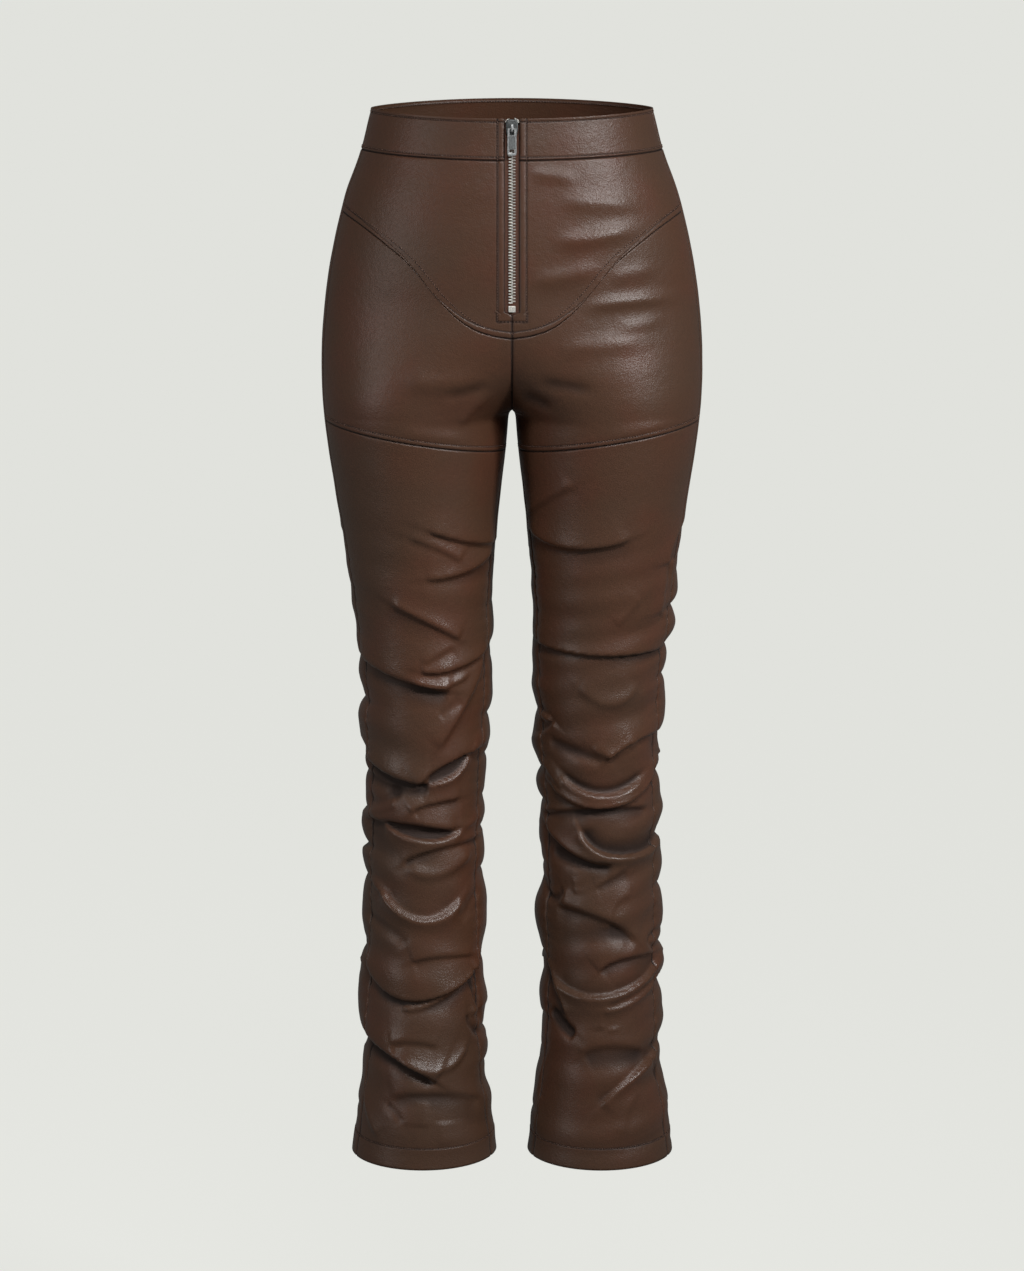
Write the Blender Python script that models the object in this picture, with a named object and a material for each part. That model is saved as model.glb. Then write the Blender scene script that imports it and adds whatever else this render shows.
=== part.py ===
"""High-waisted faux leather trousers with ruched legs and flared hems, in the form they keep on a body.

Metres, +Z up. The origin is the middle of the waist opening at its sides. The front faces -Y, so +X is
the wearer's left. Every cloth piece is a wall cut from one surface, which is a stack of sections: one
oval round the hips that divides at the crotch into an oval for each leg. A place on it is an angle round
the leg, 0 at the outer side and -90 at the front, and a drop below the waist. Tables are in millimetres.
"""

import math
from collections import namedtuple

import bmesh
import bpy
import numpy as np
from mathutils import Matrix, Vector

MM = 0.001

# Driving dimensions, in millimetres.
CLOTH = 1.6
SEAM_GAP = 0.3
WAIST_DIP_FRONT = 5.0
WAIST_RISE_BACK = 4.0
BAND_WIDTH = 36.0
CROTCH_DROP = 271.0
HEM_DROP = 970.0
THIGH_SEAM_SIDE = 278.0
THIGH_SEAM_INNER = 307.0
THIGH_SEAM_FLAT = 0.075
ARCH_GAP = 3.2
ARCH_FALL = 2.5
FRONT_RISE_CURVE = 110.0
BACK_RISE_CURVE = 160.0
RISE_EASE = 1.6
LEG_GAUGE = 62.0
BAND_MIDDLE = 20.0
YOKE_TOP_AT = 40.0
YOKE_GAP_AT = 60.0

ZIP_OPENING = 6.2
ZIP_END = 173.0
ZIP_STEP = 1.5
TAPE_REACH = 14.0
TAPE_THICK = 1.0
TAPE_CLEAR = 0.8
TAPE_DOWN = 0.5
TAPE_BELOW = 5.0
TAPE_ROWS = 18
CHAIN_HALF = 3.1
CHAIN_PROUD = 0.6
CHAIN_TOP = 21.3
CHAIN_END = 166.8
CHAIN_ROWS = 14
STOP_END = 172.6
STOP_PROUD = 1.0

SIDES = {"right": -1, "left": 1}

# The outline at each drop: outer and inner edge from the centre line, front and back depth, side seam line.
Level = namedtuple("Level", "drop outer inner front back centre")
LEVELS = (
    Level(-10, 122.5, ARCH_GAP, -86.5, 88.5, 0),
    Level(0, 125.5, ARCH_GAP, -88, 90, 0),
    Level(38, 135.5, ARCH_GAP, -93, 97, 0),
    Level(75, 149, ARCH_GAP, -98, 105, 0),
    Level(110, 158, ARCH_GAP, -101, 114, 0),
    Level(145, 165, ARCH_GAP, -102, 122, 0),
    Level(180, 169.5, ARCH_GAP, -101, 127, 0),
    Level(215, 172, ARCH_GAP, -99, 128, 1),
    Level(250, 172, ARCH_GAP, -96, 120, 2),
    Level(275, 170.5, ARCH_GAP, -93, 110, 3),
    Level(305, 167, 5.4, -89, 101, 4),
    Level(345, 161, 10, -83, 92, 5),
    Level(400, 152.5, 15.5, -75, 82, 6),
    Level(455, 145.5, 19, -68, 75, 7),
    Level(510, 137.5, 20.5, -62, 70, 8),
    Level(560, 135, 23, -58, 68, 9),
    Level(620, 133.5, 27, -54, 68, 10),
    Level(700, 134, 29, -53, 67, 10),
    Level(780, 135, 29.5, -55, 66, 9),
    Level(850, 135.5, 28, -58, 66, 7),
    Level(900, 139.5, 24, -62, 67, 5),
    Level(935, 145.5, 18.5, -65, 68, 3),
    Level(970, 150, 15, -68, 70, 2),
    Level(980, 151, 14, -69, 71, 2),
)

# Side seam and inseam run a little to the front of the widest point: degrees in front of it.
SeamLine = namedtuple("SeamLine", "drop side inner")
SEAM_LINES = (
    SeamLine(-10, 9, 0),
    SeamLine(200, 11, 0),
    SeamLine(271, 13, 0),
    SeamLine(330, 15, 8),
    SeamLine(420, 19, 18),
    SeamLine(520, 22, 22),
    SeamLine(980, 22, 22),
)

# The curved seam of the front yoke: distance from the centre line and drop.
YokePoint = namedtuple("YokePoint", "across drop")
YOKE_SEAM = (
    YokePoint(0, 196.5),
    YokePoint(18, 193.5),
    YokePoint(36, 187),
    YokePoint(54, 174),
    YokePoint(68, 159),
    YokePoint(80, 144),
    YokePoint(92, 131),
    YokePoint(109, 117.5),
    YokePoint(133, 101),
    YokePoint(155, 89),
)

# A fold runs over three points, each as its share of the way across the leg from the inseam and its drop.
# A crest of the ridge height stands above the line, fades upwards over "up", and a tuck is drawn in below.
Fold = namedtuple("Fold", "a0 d0 a1 d1 a2 d2 ridge up tuck")
RIGHT_LEG_FOLDS = (
    Fold(0.02, 391, 0.17, 386, 0.45, 371, 2.2, 13, 1.2),
    Fold(0.02, 400, 0.17, 413, 0.46, 418, 2.0, 13, 1.0),
    Fold(0.24, 476, 0.45, 459, 0.72, 441, 2.0, 13, 1.0),
    Fold(0.03, 489, 0.27, 502, 0.53, 502, 2.2, 12, 1.6),
    Fold(0.98, 495, 0.65, 512, 0.30, 523, 3.2, 14, 1.8),
    Fold(0.05, 506, 0.18, 543, 0.37, 577, 2.2, 11, 0.8),
    Fold(1.00, 586, 0.77, 603, 0.47, 608, 3.4, 18, 4.0),
    Fold(0.49, 608, 0.29, 590, 0.03, 582, 2.4, 14, 1.8),
    Fold(0.59, 636, 0.45, 628, 0.18, 625, 1.8, 10, 1.4),
    Fold(0.97, 650, 0.62, 648, 0.23, 656, 1.6, 10, 2.6),
    Fold(0.01, 670, 0.36, 669, 0.68, 685, 2.2, 12, 1.8),
    Fold(0.85, 717, 0.50, 741, 0.18, 724, 3.6, 18, 1.4),
    Fold(0.98, 740, 0.78, 749, 0.65, 760, 1.4, 10, 1.6),
    Fold(0.98, 782, 0.61, 813, 0.02, 783, 3.6, 18, 2.4),
    Fold(0.98, 853, 0.69, 870, 0.40, 889, 4.2, 18, 4.0),
    Fold(0.73, 869, 0.35, 881, 0.11, 859, 2.0, 10, 1.4),
    Fold(0.76, 908, 0.41, 901, 0.07, 915, 1.6, 15, 1.4),
)
LEFT_LEG_FOLDS = (
    Fold(0.03, 381, 0.30, 390, 0.66, 380, 2.4, 13, 1.2),
    Fold(1.00, 375, 0.96, 387, 0.94, 410, 1.6, 10, 1.0),
    Fold(0.01, 482, 0.49, 487, 1.00, 487, 2.6, 14, 1.8),
    Fold(0.31, 521, 0.60, 538, 0.83, 520, 1.8, 12, 0.8),
    Fold(0.04, 539, 0.14, 547, 0.01, 566, 1.6, 9, 1.8),
    Fold(0.99, 568, 0.79, 570, 0.57, 586, 2.6, 14, 1.6),
    Fold(0.09, 572, 0.30, 578, 0.54, 587, 1.6, 12, 2.0),
    Fold(0.08, 614, 0.52, 631, 0.95, 610, 3.4, 14, 2.0),
    Fold(0.03, 644, 0.50, 632, 0.91, 637, 1.6, 9, 1.8),
    Fold(0.03, 659, 0.53, 684, 0.99, 682, 3.4, 16, 3.0),
    Fold(0.45, 706, 0.58, 699, 0.73, 690, 1.2, 9, 0.8),
    Fold(0.02, 713, 0.09, 722, 0.17, 709, 1.4, 9, 2.0),
    Fold(0.11, 728, 0.49, 736, 0.80, 761, 2.4, 14, 2.0),
    Fold(1.00, 782, 0.74, 774, 0.48, 786, 2.0, 12, 1.6),
    Fold(0.11, 800, 0.53, 810, 0.99, 787, 3.4, 13, 1.6),
    Fold(0.07, 829, 0.15, 837, 0.27, 846, 1.6, 10, 3.4),
    Fold(0.34, 866, 0.58, 857, 0.88, 867, 1.4, 12, 1.4),
    Fold(0.99, 867, 0.74, 888, 0.48, 913, 3.4, 12, 1.6),
)
# The back of each leg is gathered as the other leg's front is, a little lower.
BACK_SHIFT = 9.0
CREST_OFFSET = 6.0
CREST_UNDER = 0.8
CREST_POWER = 1.6
TUCK_REACH = 7.0
FOLD_STEPS = 12
FOLD_FADE = 0.22
FADE_START = 0.35
CENTRE_CALM = 14.0
HEM_CALM = 25.0

# Rows of the leg panels, as stretches of drop at the side seam and the step in each.
RowRun = namedtuple("RowRun", "start end rows")
LEG_ROWS = (RowRun(278, 370, 6), RowRun(370, 905, 46), RowRun(905, 970, 4))
# Rows of the hip panels where they meet the centre seam, close together round the crotch.
HIP_INNER_DROPS = (196.5, 209, 222, 234, 245, 254, 261.5, 267, 270.5, 273, 278, 286, 296, 307)
BACK_INNER_DROPS = (32.3, 53, 74, 96, 118, 140, 162, 183, 203, 220) + HIP_INNER_DROPS[3:]
YOKE_SIDE_DROP = 90.0
PANEL_COLUMNS = np.linspace(0, 1, 10)
EVEN_BY = 1.6
SETTLE = 7
BACK_CALM_FROM = 7
# Rows of the yoke at the zip's edge. The named row is the last beside the opening.
YOKE_INNER_SHARES = (0, 0.12, 0.25, 0.38, 0.5, 0.62, 0.74, 0.845, 0.855, 0.93, 1)
YOKE_OPENING_ROW = 7


# ------------------------------------------------------------------ the garment's surface

def through(table, column, at):
    """A smooth curve through one column of a table, by cubic pieces with central slopes."""
    xs = np.array([row[0] for row in table], float)
    ys = np.array([getattr(row, column) for row in table], float)
    slopes = np.gradient(ys, xs)
    at = np.clip(np.asarray(at, float), xs[0], xs[-1])
    i = np.clip(np.searchsorted(xs, at) - 1, 0, len(xs) - 2)
    step = xs[i + 1] - xs[i]
    t = (at - xs[i]) / step
    start = ys[i] * (1 + 2 * t) * (1 - t) ** 2 + slopes[i] * step * t * (1 - t) ** 2
    end = ys[i + 1] * t * t * (3 - 2 * t) - slopes[i + 1] * step * t * t * (1 - t)
    return start + end


def smoothstep(t):
    t = np.clip(t, 0.0, 1.0)
    return t * t * (3 - 2 * t)


def section(angle, drop):
    """The oval of one leg at a drop: its middle, its half width at this angle, and its depth there.

    Above the crotch the middle moves to the centre line and the oval widens into half of the hips' oval.
    """
    outer = through(LEVELS, "outer", drop)
    closing = (ARCH_GAP - SEAM_GAP) * np.exp(-np.maximum(drop - CROTCH_DROP, 0) / ARCH_FALL)
    inner = through(LEVELS, "inner", drop) - closing
    front = np.sin(angle) < 0
    curve = np.where(front, FRONT_RISE_CURVE, BACK_RISE_CURVE)
    split = np.clip(1 - (CROTCH_DROP - drop) / curve, 0, 1) ** RISE_EASE
    below = drop >= CROTCH_DROP
    middle = np.where(below, (outer + inner) / 2, outer * split * (1 - split / 2))
    half_in = np.where(below, (outer - inner) / 2, outer * (1 - split / 2))
    half = np.where(np.cos(angle) > 0, outer - middle, half_in)
    centre = through(LEVELS, "centre", drop)
    depth = np.where(front, centre - through(LEVELS, "front", drop), through(LEVELS, "back", drop) - centre)
    return middle, half, centre, depth


def smooth_point(angle, drop):
    """A point of the unfolded surface of the wearer's left half, in millimetres."""
    middle, half, centre, depth = section(angle, drop)
    return np.stack([middle + half * np.cos(angle), centre + depth * np.sin(angle), -drop], axis=-1)


def outward(angle, drop):
    """The unit normal of the unfolded surface, by differences over a small step each way."""
    turn, fall = 1e-3, 0.2
    round_leg = smooth_point(angle + turn, drop) - smooth_point(angle - turn, drop)
    down_leg = smooth_point(angle, drop + fall) - smooth_point(angle, drop - fall)
    normal = np.cross(down_leg, round_leg)
    return normal / np.linalg.norm(normal, axis=-1, keepdims=True)


def fold_line(fold, back):
    """Points along a fold's line: an arc through its three places, as angle and drop."""
    t = np.linspace(0, 1, FOLD_STEPS)[:, None]
    places = np.array([[fold.a0, fold.d0], [fold.a1, fold.d1], [fold.a2, fold.d2]], float)
    angles = np.arccos(np.clip(2 * places[:, 0] - 1, -1, 1)) * (1 if back else -1)
    knots = np.stack([angles, places[:, 1]], axis=-1)
    bend = 2 * knots[1] - (knots[0] + knots[2]) / 2
    line = knots[0] * (1 - t) ** 2 + bend * 2 * t * (1 - t) + knots[2] * t ** 2
    return line, t[:, 0]


def fold_height(fold, back, angle, drop):
    """How far one fold moves the cloth outwards, from its signed distance above the fold's line."""
    line, along = fold_line(fold, back)
    if back:
        line = line + np.array([0, BACK_SHIFT])
    nearest = np.full(angle.shape, 1e9)
    above = np.zeros(angle.shape)
    share = np.zeros(angle.shape)
    for start, end, t0, t1 in zip(line[:-1], line[1:], along[:-1], along[1:]):
        turn = np.arctan2(np.sin(angle - start[0]), np.cos(angle - start[0]))
        across, down = turn * LEG_GAUGE, drop - start[1]
        run = np.array([(end[0] - start[0]) * LEG_GAUGE, end[1] - start[1]])
        t = np.clip((across * run[0] + down * run[1]) / (run @ run), 0, 1)
        gap = np.hypot(across - t * run[0], down - t * run[1])
        side = np.sign((run[1] * across - run[0] * down) * (np.sign(run[0]) or 1))
        closer = gap < nearest
        nearest = np.where(closer, gap, nearest)
        above = np.where(closer, gap * side, above)
        share = np.where(closer, t0 + t * (t1 - t0), share)
    rise = above - CREST_OFFSET
    reach = np.where(rise > 0, fold.up, CREST_OFFSET * CREST_UNDER)
    crest = fold.ridge * np.exp(-np.abs(rise / reach) ** CREST_POWER)
    tuck = fold.tuck * np.exp(-((above + 1) / TUCK_REACH) ** 2)
    fade = smoothstep(share / FOLD_FADE + FADE_START) * smoothstep((1 - share) / FOLD_FADE + FADE_START)
    beyond = np.exp(-(np.maximum(nearest - np.abs(above), 0) / TUCK_REACH) ** 2)
    return (crest - tuck) * fade * beyond


def folds(side, angle, drop):
    """All the folds of a leg, stilled towards the centre line so that the two halves never meet."""
    front, back = RIGHT_LEG_FOLDS, LEFT_LEG_FOLDS
    if side == "left":
        front, back = back, front
    height = np.zeros(angle.shape)
    for fold in front:
        height += fold_height(fold, False, angle, drop)
    for fold in back:
        height += fold_height(fold, True, angle, drop)
    clear = smooth_point(angle, drop)[..., 0]
    return height * smoothstep(clear / CENTRE_CALM) * smoothstep((HEM_DROP - drop) / HEM_CALM)


def cloth_point(side, angle, drop, inset):
    """A point of the garment, a distance in from its outer face, in metres and on the side asked for."""
    point = smooth_point(angle, drop) + outward(angle, drop) * (folds(side, angle, drop) - inset)[..., None]
    return point * np.array([SIDES[side], 1, 1]) * MM


# ------------------------------------------------------------------ where the seams run

def edge_angle(drop, distance, curve):
    """The turn from the outer side at which the oval meets a plane beside the centre line.

    The rise curve says how far above the crotch that half begins to part into two legs.
    """
    outer = through(LEVELS, "outer", drop)
    split = np.clip(1 - (CROTCH_DROP - drop) / curve, 0, 1) ** RISE_EASE
    middle = outer * split * (1 - split / 2)
    half = np.where(distance < middle, outer * (1 - split / 2), outer - middle)
    return np.arccos(np.clip((distance - middle) / half, -1, 1))


def half_gap_angle(drop):
    """Half the seam gap as a turn round the leg."""
    return SEAM_GAP / 2 / (through(LEVELS, "back", drop) - through(LEVELS, "centre", drop))


def side_seam(drop):
    return -np.radians(through(SEAM_LINES, "side", drop))


def inseam(drop):
    return np.radians(through(SEAM_LINES, "inner", drop)) - math.pi


def front_inner_edge(drop, opening=False):
    """The front's inner edge: beside the zip, then the centre seam, then the inseam below the crotch."""
    drop = np.asarray(drop, float)
    distance = np.full(drop.shape, SEAM_GAP / 2)
    if opening:
        distance = np.where(drop < ZIP_END + ZIP_STEP / 2, ZIP_OPENING, distance)
    centre = -edge_angle(drop, distance, FRONT_RISE_CURVE)
    return np.where(drop < CROTCH_DROP, centre, inseam(drop) + half_gap_angle(drop))


def back_inner_edge(drop):
    drop = np.asarray(drop, float)
    leg = inseam(drop) + 2 * math.pi - half_gap_angle(drop)
    centre = edge_angle(drop, SEAM_GAP / 2, BACK_RISE_CURVE)
    return np.where(drop < CROTCH_DROP, centre, leg)


def waist_top(angle):
    """The band's top edge dips at the front and rises at the back."""
    across = np.sin(angle)
    return np.where(across < 0, WAIST_DIP_FRONT, -WAIST_RISE_BACK) * across ** 2


def band_seam(angle):
    return waist_top(angle) + BAND_WIDTH


def yoke_seam(angle):
    """The drop at which the yoke's curved seam crosses an angle, by a few rounds of going nearer."""
    drop = np.full(np.shape(angle), 150.0)
    for _ in range(30):
        across = smooth_point(angle, drop)[..., 0]
        drop = 0.5 * drop + 0.5 * through(YOKE_SEAM, "drop", across)
    return drop


def yoke_seam_angles(columns):
    """The places along the yoke's seam that both pieces share, from the centre to the side."""
    side = float(side_seam(YOKE_SIDE_DROP) - half_gap_angle(YOKE_SIDE_DROP))
    return spread(float(front_inner_edge(YOKE_SEAM[0].drop)), side, columns)


def leg_row_drops():
    runs = [np.linspace(run.start, run.end, run.rows, endpoint=False) for run in LEG_ROWS]
    return np.append(np.concatenate(runs), HEM_DROP)


# ------------------------------------------------------------------ making solids

def finish_material(name, colour, roughness, metallic):
    material = bpy.data.materials.new(name)
    material.use_nodes = True
    shader = material.node_tree.nodes["Principled BSDF"]
    shader.inputs["Base Color"].default_value = (*colour, 1)
    shader.inputs["Roughness"].default_value = roughness
    shader.inputs["Metallic"].default_value = metallic
    return material


def solid_from(name, vertices, faces, material):
    mesh = bpy.data.meshes.new(name)
    mesh.from_pydata([tuple(v) for v in vertices], [], [tuple(f) for f in faces])
    work = bmesh.new()
    work.from_mesh(mesh)
    bmesh.ops.recalc_face_normals(work, faces=work.faces)
    if work.calc_volume(signed=True) < 0:
        bmesh.ops.reverse_faces(work, faces=work.faces)
    work.to_mesh(mesh)
    work.free()
    mesh.materials.append(material)
    mesh.shade_smooth()
    mesh.set_sharp_from_angle(angle=math.radians(40))
    thing = bpy.data.objects.new(name, mesh)
    bpy.context.collection.objects.link(thing)
    return thing


def wall(name, side, angle, drop, material, outer_inset=0.0, thick=CLOTH):
    """A closed wall over a grid of places: two skins with the same diagonals and four edges between."""
    rows, columns = angle.shape
    skins = [cloth_point(side, angle, drop, inset) for inset in (outer_inset, outer_inset + thick)]
    vertices = np.concatenate([skin.reshape(-1, 3) for skin in skins])
    vertices[:, 0] = SIDES[side] * np.maximum(vertices[:, 0] * SIDES[side], SEAM_GAP / 2 * MM)
    index = np.arange(rows * columns).reshape(rows, columns)
    a, b, c, d = index[:-1, :-1], index[:-1, 1:], index[1:, 1:], index[1:, :-1]
    skin = np.concatenate([np.stack([a, d, b], -1).reshape(-1, 3), np.stack([b, d, c], -1).reshape(-1, 3)])
    rim = np.concatenate([index[0, :-1], index[:-1, -1], index[-1, :0:-1], index[:0:-1, 0]])
    nxt = np.roll(rim, -1)
    far = rows * columns
    edge = np.concatenate([np.stack([rim, nxt, nxt + far], -1), np.stack([rim, nxt + far, rim + far], -1)])
    faces = np.concatenate([skin, skin[:, ::-1] + far, edge])
    return solid_from(name, vertices, faces, material)


def spread(start, end, shares):
    """Rows or columns between two edges that each vary along the other way."""
    return start + (end - start) * shares


def easing_rows(inner, columns):
    """Row shares that follow a list of drops at the inner edge and even out towards the side."""
    inner = np.asarray(inner, float)
    close = (inner - inner[0]) / (inner[-1] - inner[0])
    even = np.linspace(0, 1, len(inner))
    return spread(close[:, None], even[:, None], np.clip(columns * EVEN_BY, 0, 1))


def across_panel(inner, side, columns, calm):
    """Angles from the inner edge to the side. Only the first columns follow the edge's sharp turn."""
    away = (1 - columns) ** SETTLE
    return spread(calm[:, None], side, columns) + (inner - calm)[:, None] * away


# ------------------------------------------------------------------ the cloth pieces

def waistband_front(side, leather):
    columns = PANEL_COLUMNS
    rows = np.array([0, 0.5, 1])[:, None]
    start = front_inner_edge(np.array([BAND_MIDDLE]), opening=True)
    angle = spread(start, side_seam(BAND_MIDDLE) - half_gap_angle(BAND_MIDDLE), columns) + 0 * rows
    drop = spread(waist_top(angle), band_seam(angle) - SEAM_GAP / 2, rows)
    angle[:, 0] = front_inner_edge(drop[:, 0], opening=True)
    wall(f"waistband_front_{side}", side, angle, drop, leather)


def waistband_back(leather):
    """The back band is one piece over both halves, so its grid runs from side seam to side seam."""
    rows = np.array([0, 0.5, 1])[:, None]
    half = spread(side_seam(BAND_MIDDLE) + half_gap_angle(BAND_MIDDLE), math.pi / 2, PANEL_COLUMNS)
    angle = half + 0 * rows
    drop = spread(waist_top(angle), band_seam(angle) - SEAM_GAP / 2, rows)
    skins = []
    for inset in (0.0, CLOTH):
        left = cloth_point("left", angle, drop, inset)
        right = cloth_point("right", angle, drop, inset)[:, -2::-1]
        skins.append(np.concatenate([left, right], axis=1))
    count = skins[0].shape[1]
    index = np.arange(3 * count).reshape(3, count)
    far = 3 * count
    faces = []
    for r in range(2):
        for c in range(count - 1):
            a, b, e, d = index[r, c], index[r, c + 1], index[r + 1, c + 1], index[r + 1, c]
            faces += [(a, d, b), (b, d, e), (a + far, b + far, d + far), (b + far, e + far, d + far)]
    rim = list(index[0, :-1]) + list(index[:-1, -1]) + list(index[-1, :0:-1]) + list(index[:0:-1, 0])
    for a, b in zip(rim, rim[1:] + rim[:1]):
        faces += [(a, b, b + far), (a, b + far, a + far)]
    vertices = np.concatenate([skin.reshape(-1, 3) for skin in skins])
    solid_from("waistband_back", vertices, faces, leather)


def front_yoke(side, leather):
    columns = PANEL_COLUMNS
    rows = np.array(YOKE_INNER_SHARES)[:, None]
    gap = half_gap_angle(YOKE_GAP_AT)
    top_angles = spread(float(front_inner_edge(YOKE_TOP_AT, opening=True)), side_seam(BAND_WIDTH) - gap, columns)
    inner_top = float(band_seam(np.array(-math.pi / 2))) + SEAM_GAP / 2
    inner_end = YOKE_SEAM[0].drop - SEAM_GAP
    inner_drop = inner_top + (inner_end - inner_top) * rows[:, 0]
    inner_drop[YOKE_OPENING_ROW] = ZIP_END
    inner_drop[YOKE_OPENING_ROW + 1] = ZIP_END + ZIP_STEP
    end = yoke_seam(yoke_seam_angles(columns)) - SEAM_GAP * 0.75
    drop = spread(band_seam(top_angles) + SEAM_GAP / 2, end, rows)
    drop[:, 0] = inner_drop
    edge = front_inner_edge(inner_drop, opening=True)
    angle = across_panel(edge, side_seam(drop) - gap, columns, front_inner_edge(inner_drop))
    angle[-1] = yoke_seam_angles(columns)
    drop[0] = band_seam(angle[0]) + SEAM_GAP / 2
    drop[-1] = end
    wall(f"front_yoke_{side}", side, angle, drop, leather)


def thigh_seam(share):
    """The thigh seam's drop, by the share of the way from the inner edge to the side seam."""
    eased = smoothstep(share * (1 - 2 * THIGH_SEAM_FLAT) + THIGH_SEAM_FLAT)
    return THIGH_SEAM_INNER + (THIGH_SEAM_SIDE - THIGH_SEAM_INNER) * eased


def front_hip(side, leather):
    columns = PANEL_COLUMNS
    top = yoke_seam(yoke_seam_angles(columns))
    end = thigh_seam(columns)
    drop = spread(top + SEAM_GAP * 0.75, end - SEAM_GAP / 2, easing_rows(HIP_INNER_DROPS, columns))
    drop[1:-1, 0] = HIP_INNER_DROPS[1:-1]
    edge = front_inner_edge(drop[:, 0])
    calm = np.linspace(edge[0], edge[-1], len(edge))
    angle = across_panel(edge, side_seam(drop) - half_gap_angle(drop), columns, calm)
    angle[0] = yoke_seam_angles(columns)
    drop[0] = top + SEAM_GAP * 0.75
    wall(f"front_hip_{side}", side, angle, drop, leather)


def front_leg(side, leather):
    columns = PANEL_COLUMNS
    outer = leg_row_drops()
    shares = ((outer - outer[0]) / (outer[-1] - outer[0]))[:, None]
    drop = spread(thigh_seam(columns) + SEAM_GAP / 2, HEM_DROP, shares)
    angle = spread(front_inner_edge(drop[:, 0])[:, None], side_seam(drop) - half_gap_angle(drop), columns)
    wall(f"front_leg_{side}", side, angle, drop, leather)


def back_panel(side, leather):
    """The back runs in one piece from the band to the hem."""
    columns = PANEL_COLUMNS
    inner = np.array(BACK_INNER_DROPS)
    end = spread(THIGH_SEAM_INNER, THIGH_SEAM_SIDE, smoothstep(columns))
    top = spread(inner[0], BAND_WIDTH + SEAM_GAP / 2, columns)
    upper = spread(top, end, easing_rows(inner, columns))
    upper[:, 0] = inner
    lower_side = leg_row_drops()[1:]
    lower_share = (lower_side - THIGH_SEAM_SIDE) / (HEM_DROP - THIGH_SEAM_SIDE)
    drop = np.concatenate([upper, spread(end, HEM_DROP, lower_share[:, None])])
    edge = back_inner_edge(drop[:, 0])
    calm = edge.copy()
    calm[BACK_CALM_FROM:len(inner)] = np.linspace(edge[BACK_CALM_FROM], edge[len(inner)], len(inner) - BACK_CALM_FROM)
    angle = across_panel(edge, side_seam(drop) + half_gap_angle(drop), columns, calm)
    drop[0] = band_seam(angle[0]) + SEAM_GAP / 2
    wall(f"back_{side}", side, angle, drop, leather)


# ------------------------------------------------------------------ the zip

def centre_front(drop, proud):
    """A point on the centre line of the front, a distance out from the cloth's outer face."""
    drop = np.asarray(drop, float)
    angle = np.full(drop.shape, -math.pi / 2)
    return smooth_point(angle, drop) * np.array([0, 1, 1]) + outward(angle, drop) * np.array([0, 1, 1]) * proud


def zip_tape(side, fabric):
    """Woven tape behind the opening, reaching under the front edges to their stitching."""
    rows = np.linspace(WAIST_DIP_FRONT + TAPE_DOWN, ZIP_END + TAPE_BELOW, TAPE_ROWS)
    distances = np.array([SEAM_GAP / 2, ZIP_OPENING, TAPE_REACH])
    drop = rows[:, None] + 0 * distances
    angle = -np.stack([edge_angle(rows, far, FRONT_RISE_CURVE) for far in distances], axis=1)
    wall(f"zip_tape_{side}", side, angle, drop, fabric, outer_inset=CLOTH + TAPE_CLEAR, thick=TAPE_THICK)


def strip_down_front(name, start, end, rows, half_width, proud, metal):
    """A bar of rectangular section that follows the centre front, from just before the tape outwards."""
    drops = np.linspace(start, end, rows)
    rings = []
    base = SEAM_GAP - CLOTH - TAPE_CLEAR
    for depth, sign in ((base, -1), (base, 1), (proud, 1), (proud, -1)):
        line = centre_front(drops, depth)
        line[:, 0] = sign * half_width
        rings.append(line * MM)
    vertices = np.stack(rings, axis=1).reshape(-1, 3)
    faces = [(0, 1, 2, 3), tuple(4 * (rows - 1) + k for k in (3, 2, 1, 0))]
    for r in range(rows - 1):
        for k in range(4):
            a, b = 4 * r + k, 4 * r + (k + 1) % 4
            faces += [(a, a + 4, b), (b, a + 4, b + 4)]
    solid_from(name, vertices, faces, metal)


# The slider and its tab, in millimetres: along the zip downwards, and out from the cloth's face.
SLIDER_AT = 13.0
# Half of the slider's outline, from its top to its foot.
Corner = namedtuple("Corner", "across down")
SLIDER_OUTLINE = (Corner(3.0, -7.4), Corner(5.2, -6.6), Corner(5.4, 0.5), Corner(4.2, 7.6))
SLIDER_FACE = 2.0
BAIL_HALF = 1.1
BAIL_TOP, BAIL_END = -3.4, 4.2
BAIL_BAR = 1.0
BAIL_OUT = 5.3
BAIL_SUNK = 0.5
TAB_PIVOT = (1.0, 3.15)
TAB_HALF = 3.75
TAB_THICK = 1.2
TAB_LENGTH = 24.0
TAB_ROUNDING = 1.6
TAB_WINDOW = (3.4, 5.0)
TAB_SLOT = (3.0, 3.2)
TAB_SLOT_AT = 19.4
CUT_THROUGH = 2.0


def slider_frame():
    """The zip's local frame at the slider: across, down the zip, and out from the cloth."""
    here = centre_front(SLIDER_AT, 0.0)
    ahead = centre_front(SLIDER_AT + 1.0, 0.0)
    down = Vector(ahead - here).normalized()
    across = Vector((1, 0, 0))
    out = across.cross(down).normalized()
    if out.y > 0:
        out = -out
    turn = Matrix((across, down, out)).transposed().to_4x4()
    return Matrix.Translation(Vector(here) * MM) @ turn


def block(work, low, high):
    """A box in the local frame, in millimetres, added to a bmesh."""
    box = bmesh.ops.create_cube(work, size=1.0)
    size = [(b - a) * MM for a, b in zip(low, high)]
    middle = [(a + b) / 2 * MM for a, b in zip(low, high)]
    bmesh.ops.scale(work, vec=size, verts=box["verts"])
    bmesh.ops.translate(work, vec=middle, verts=box["verts"])
    return box["verts"]


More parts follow.
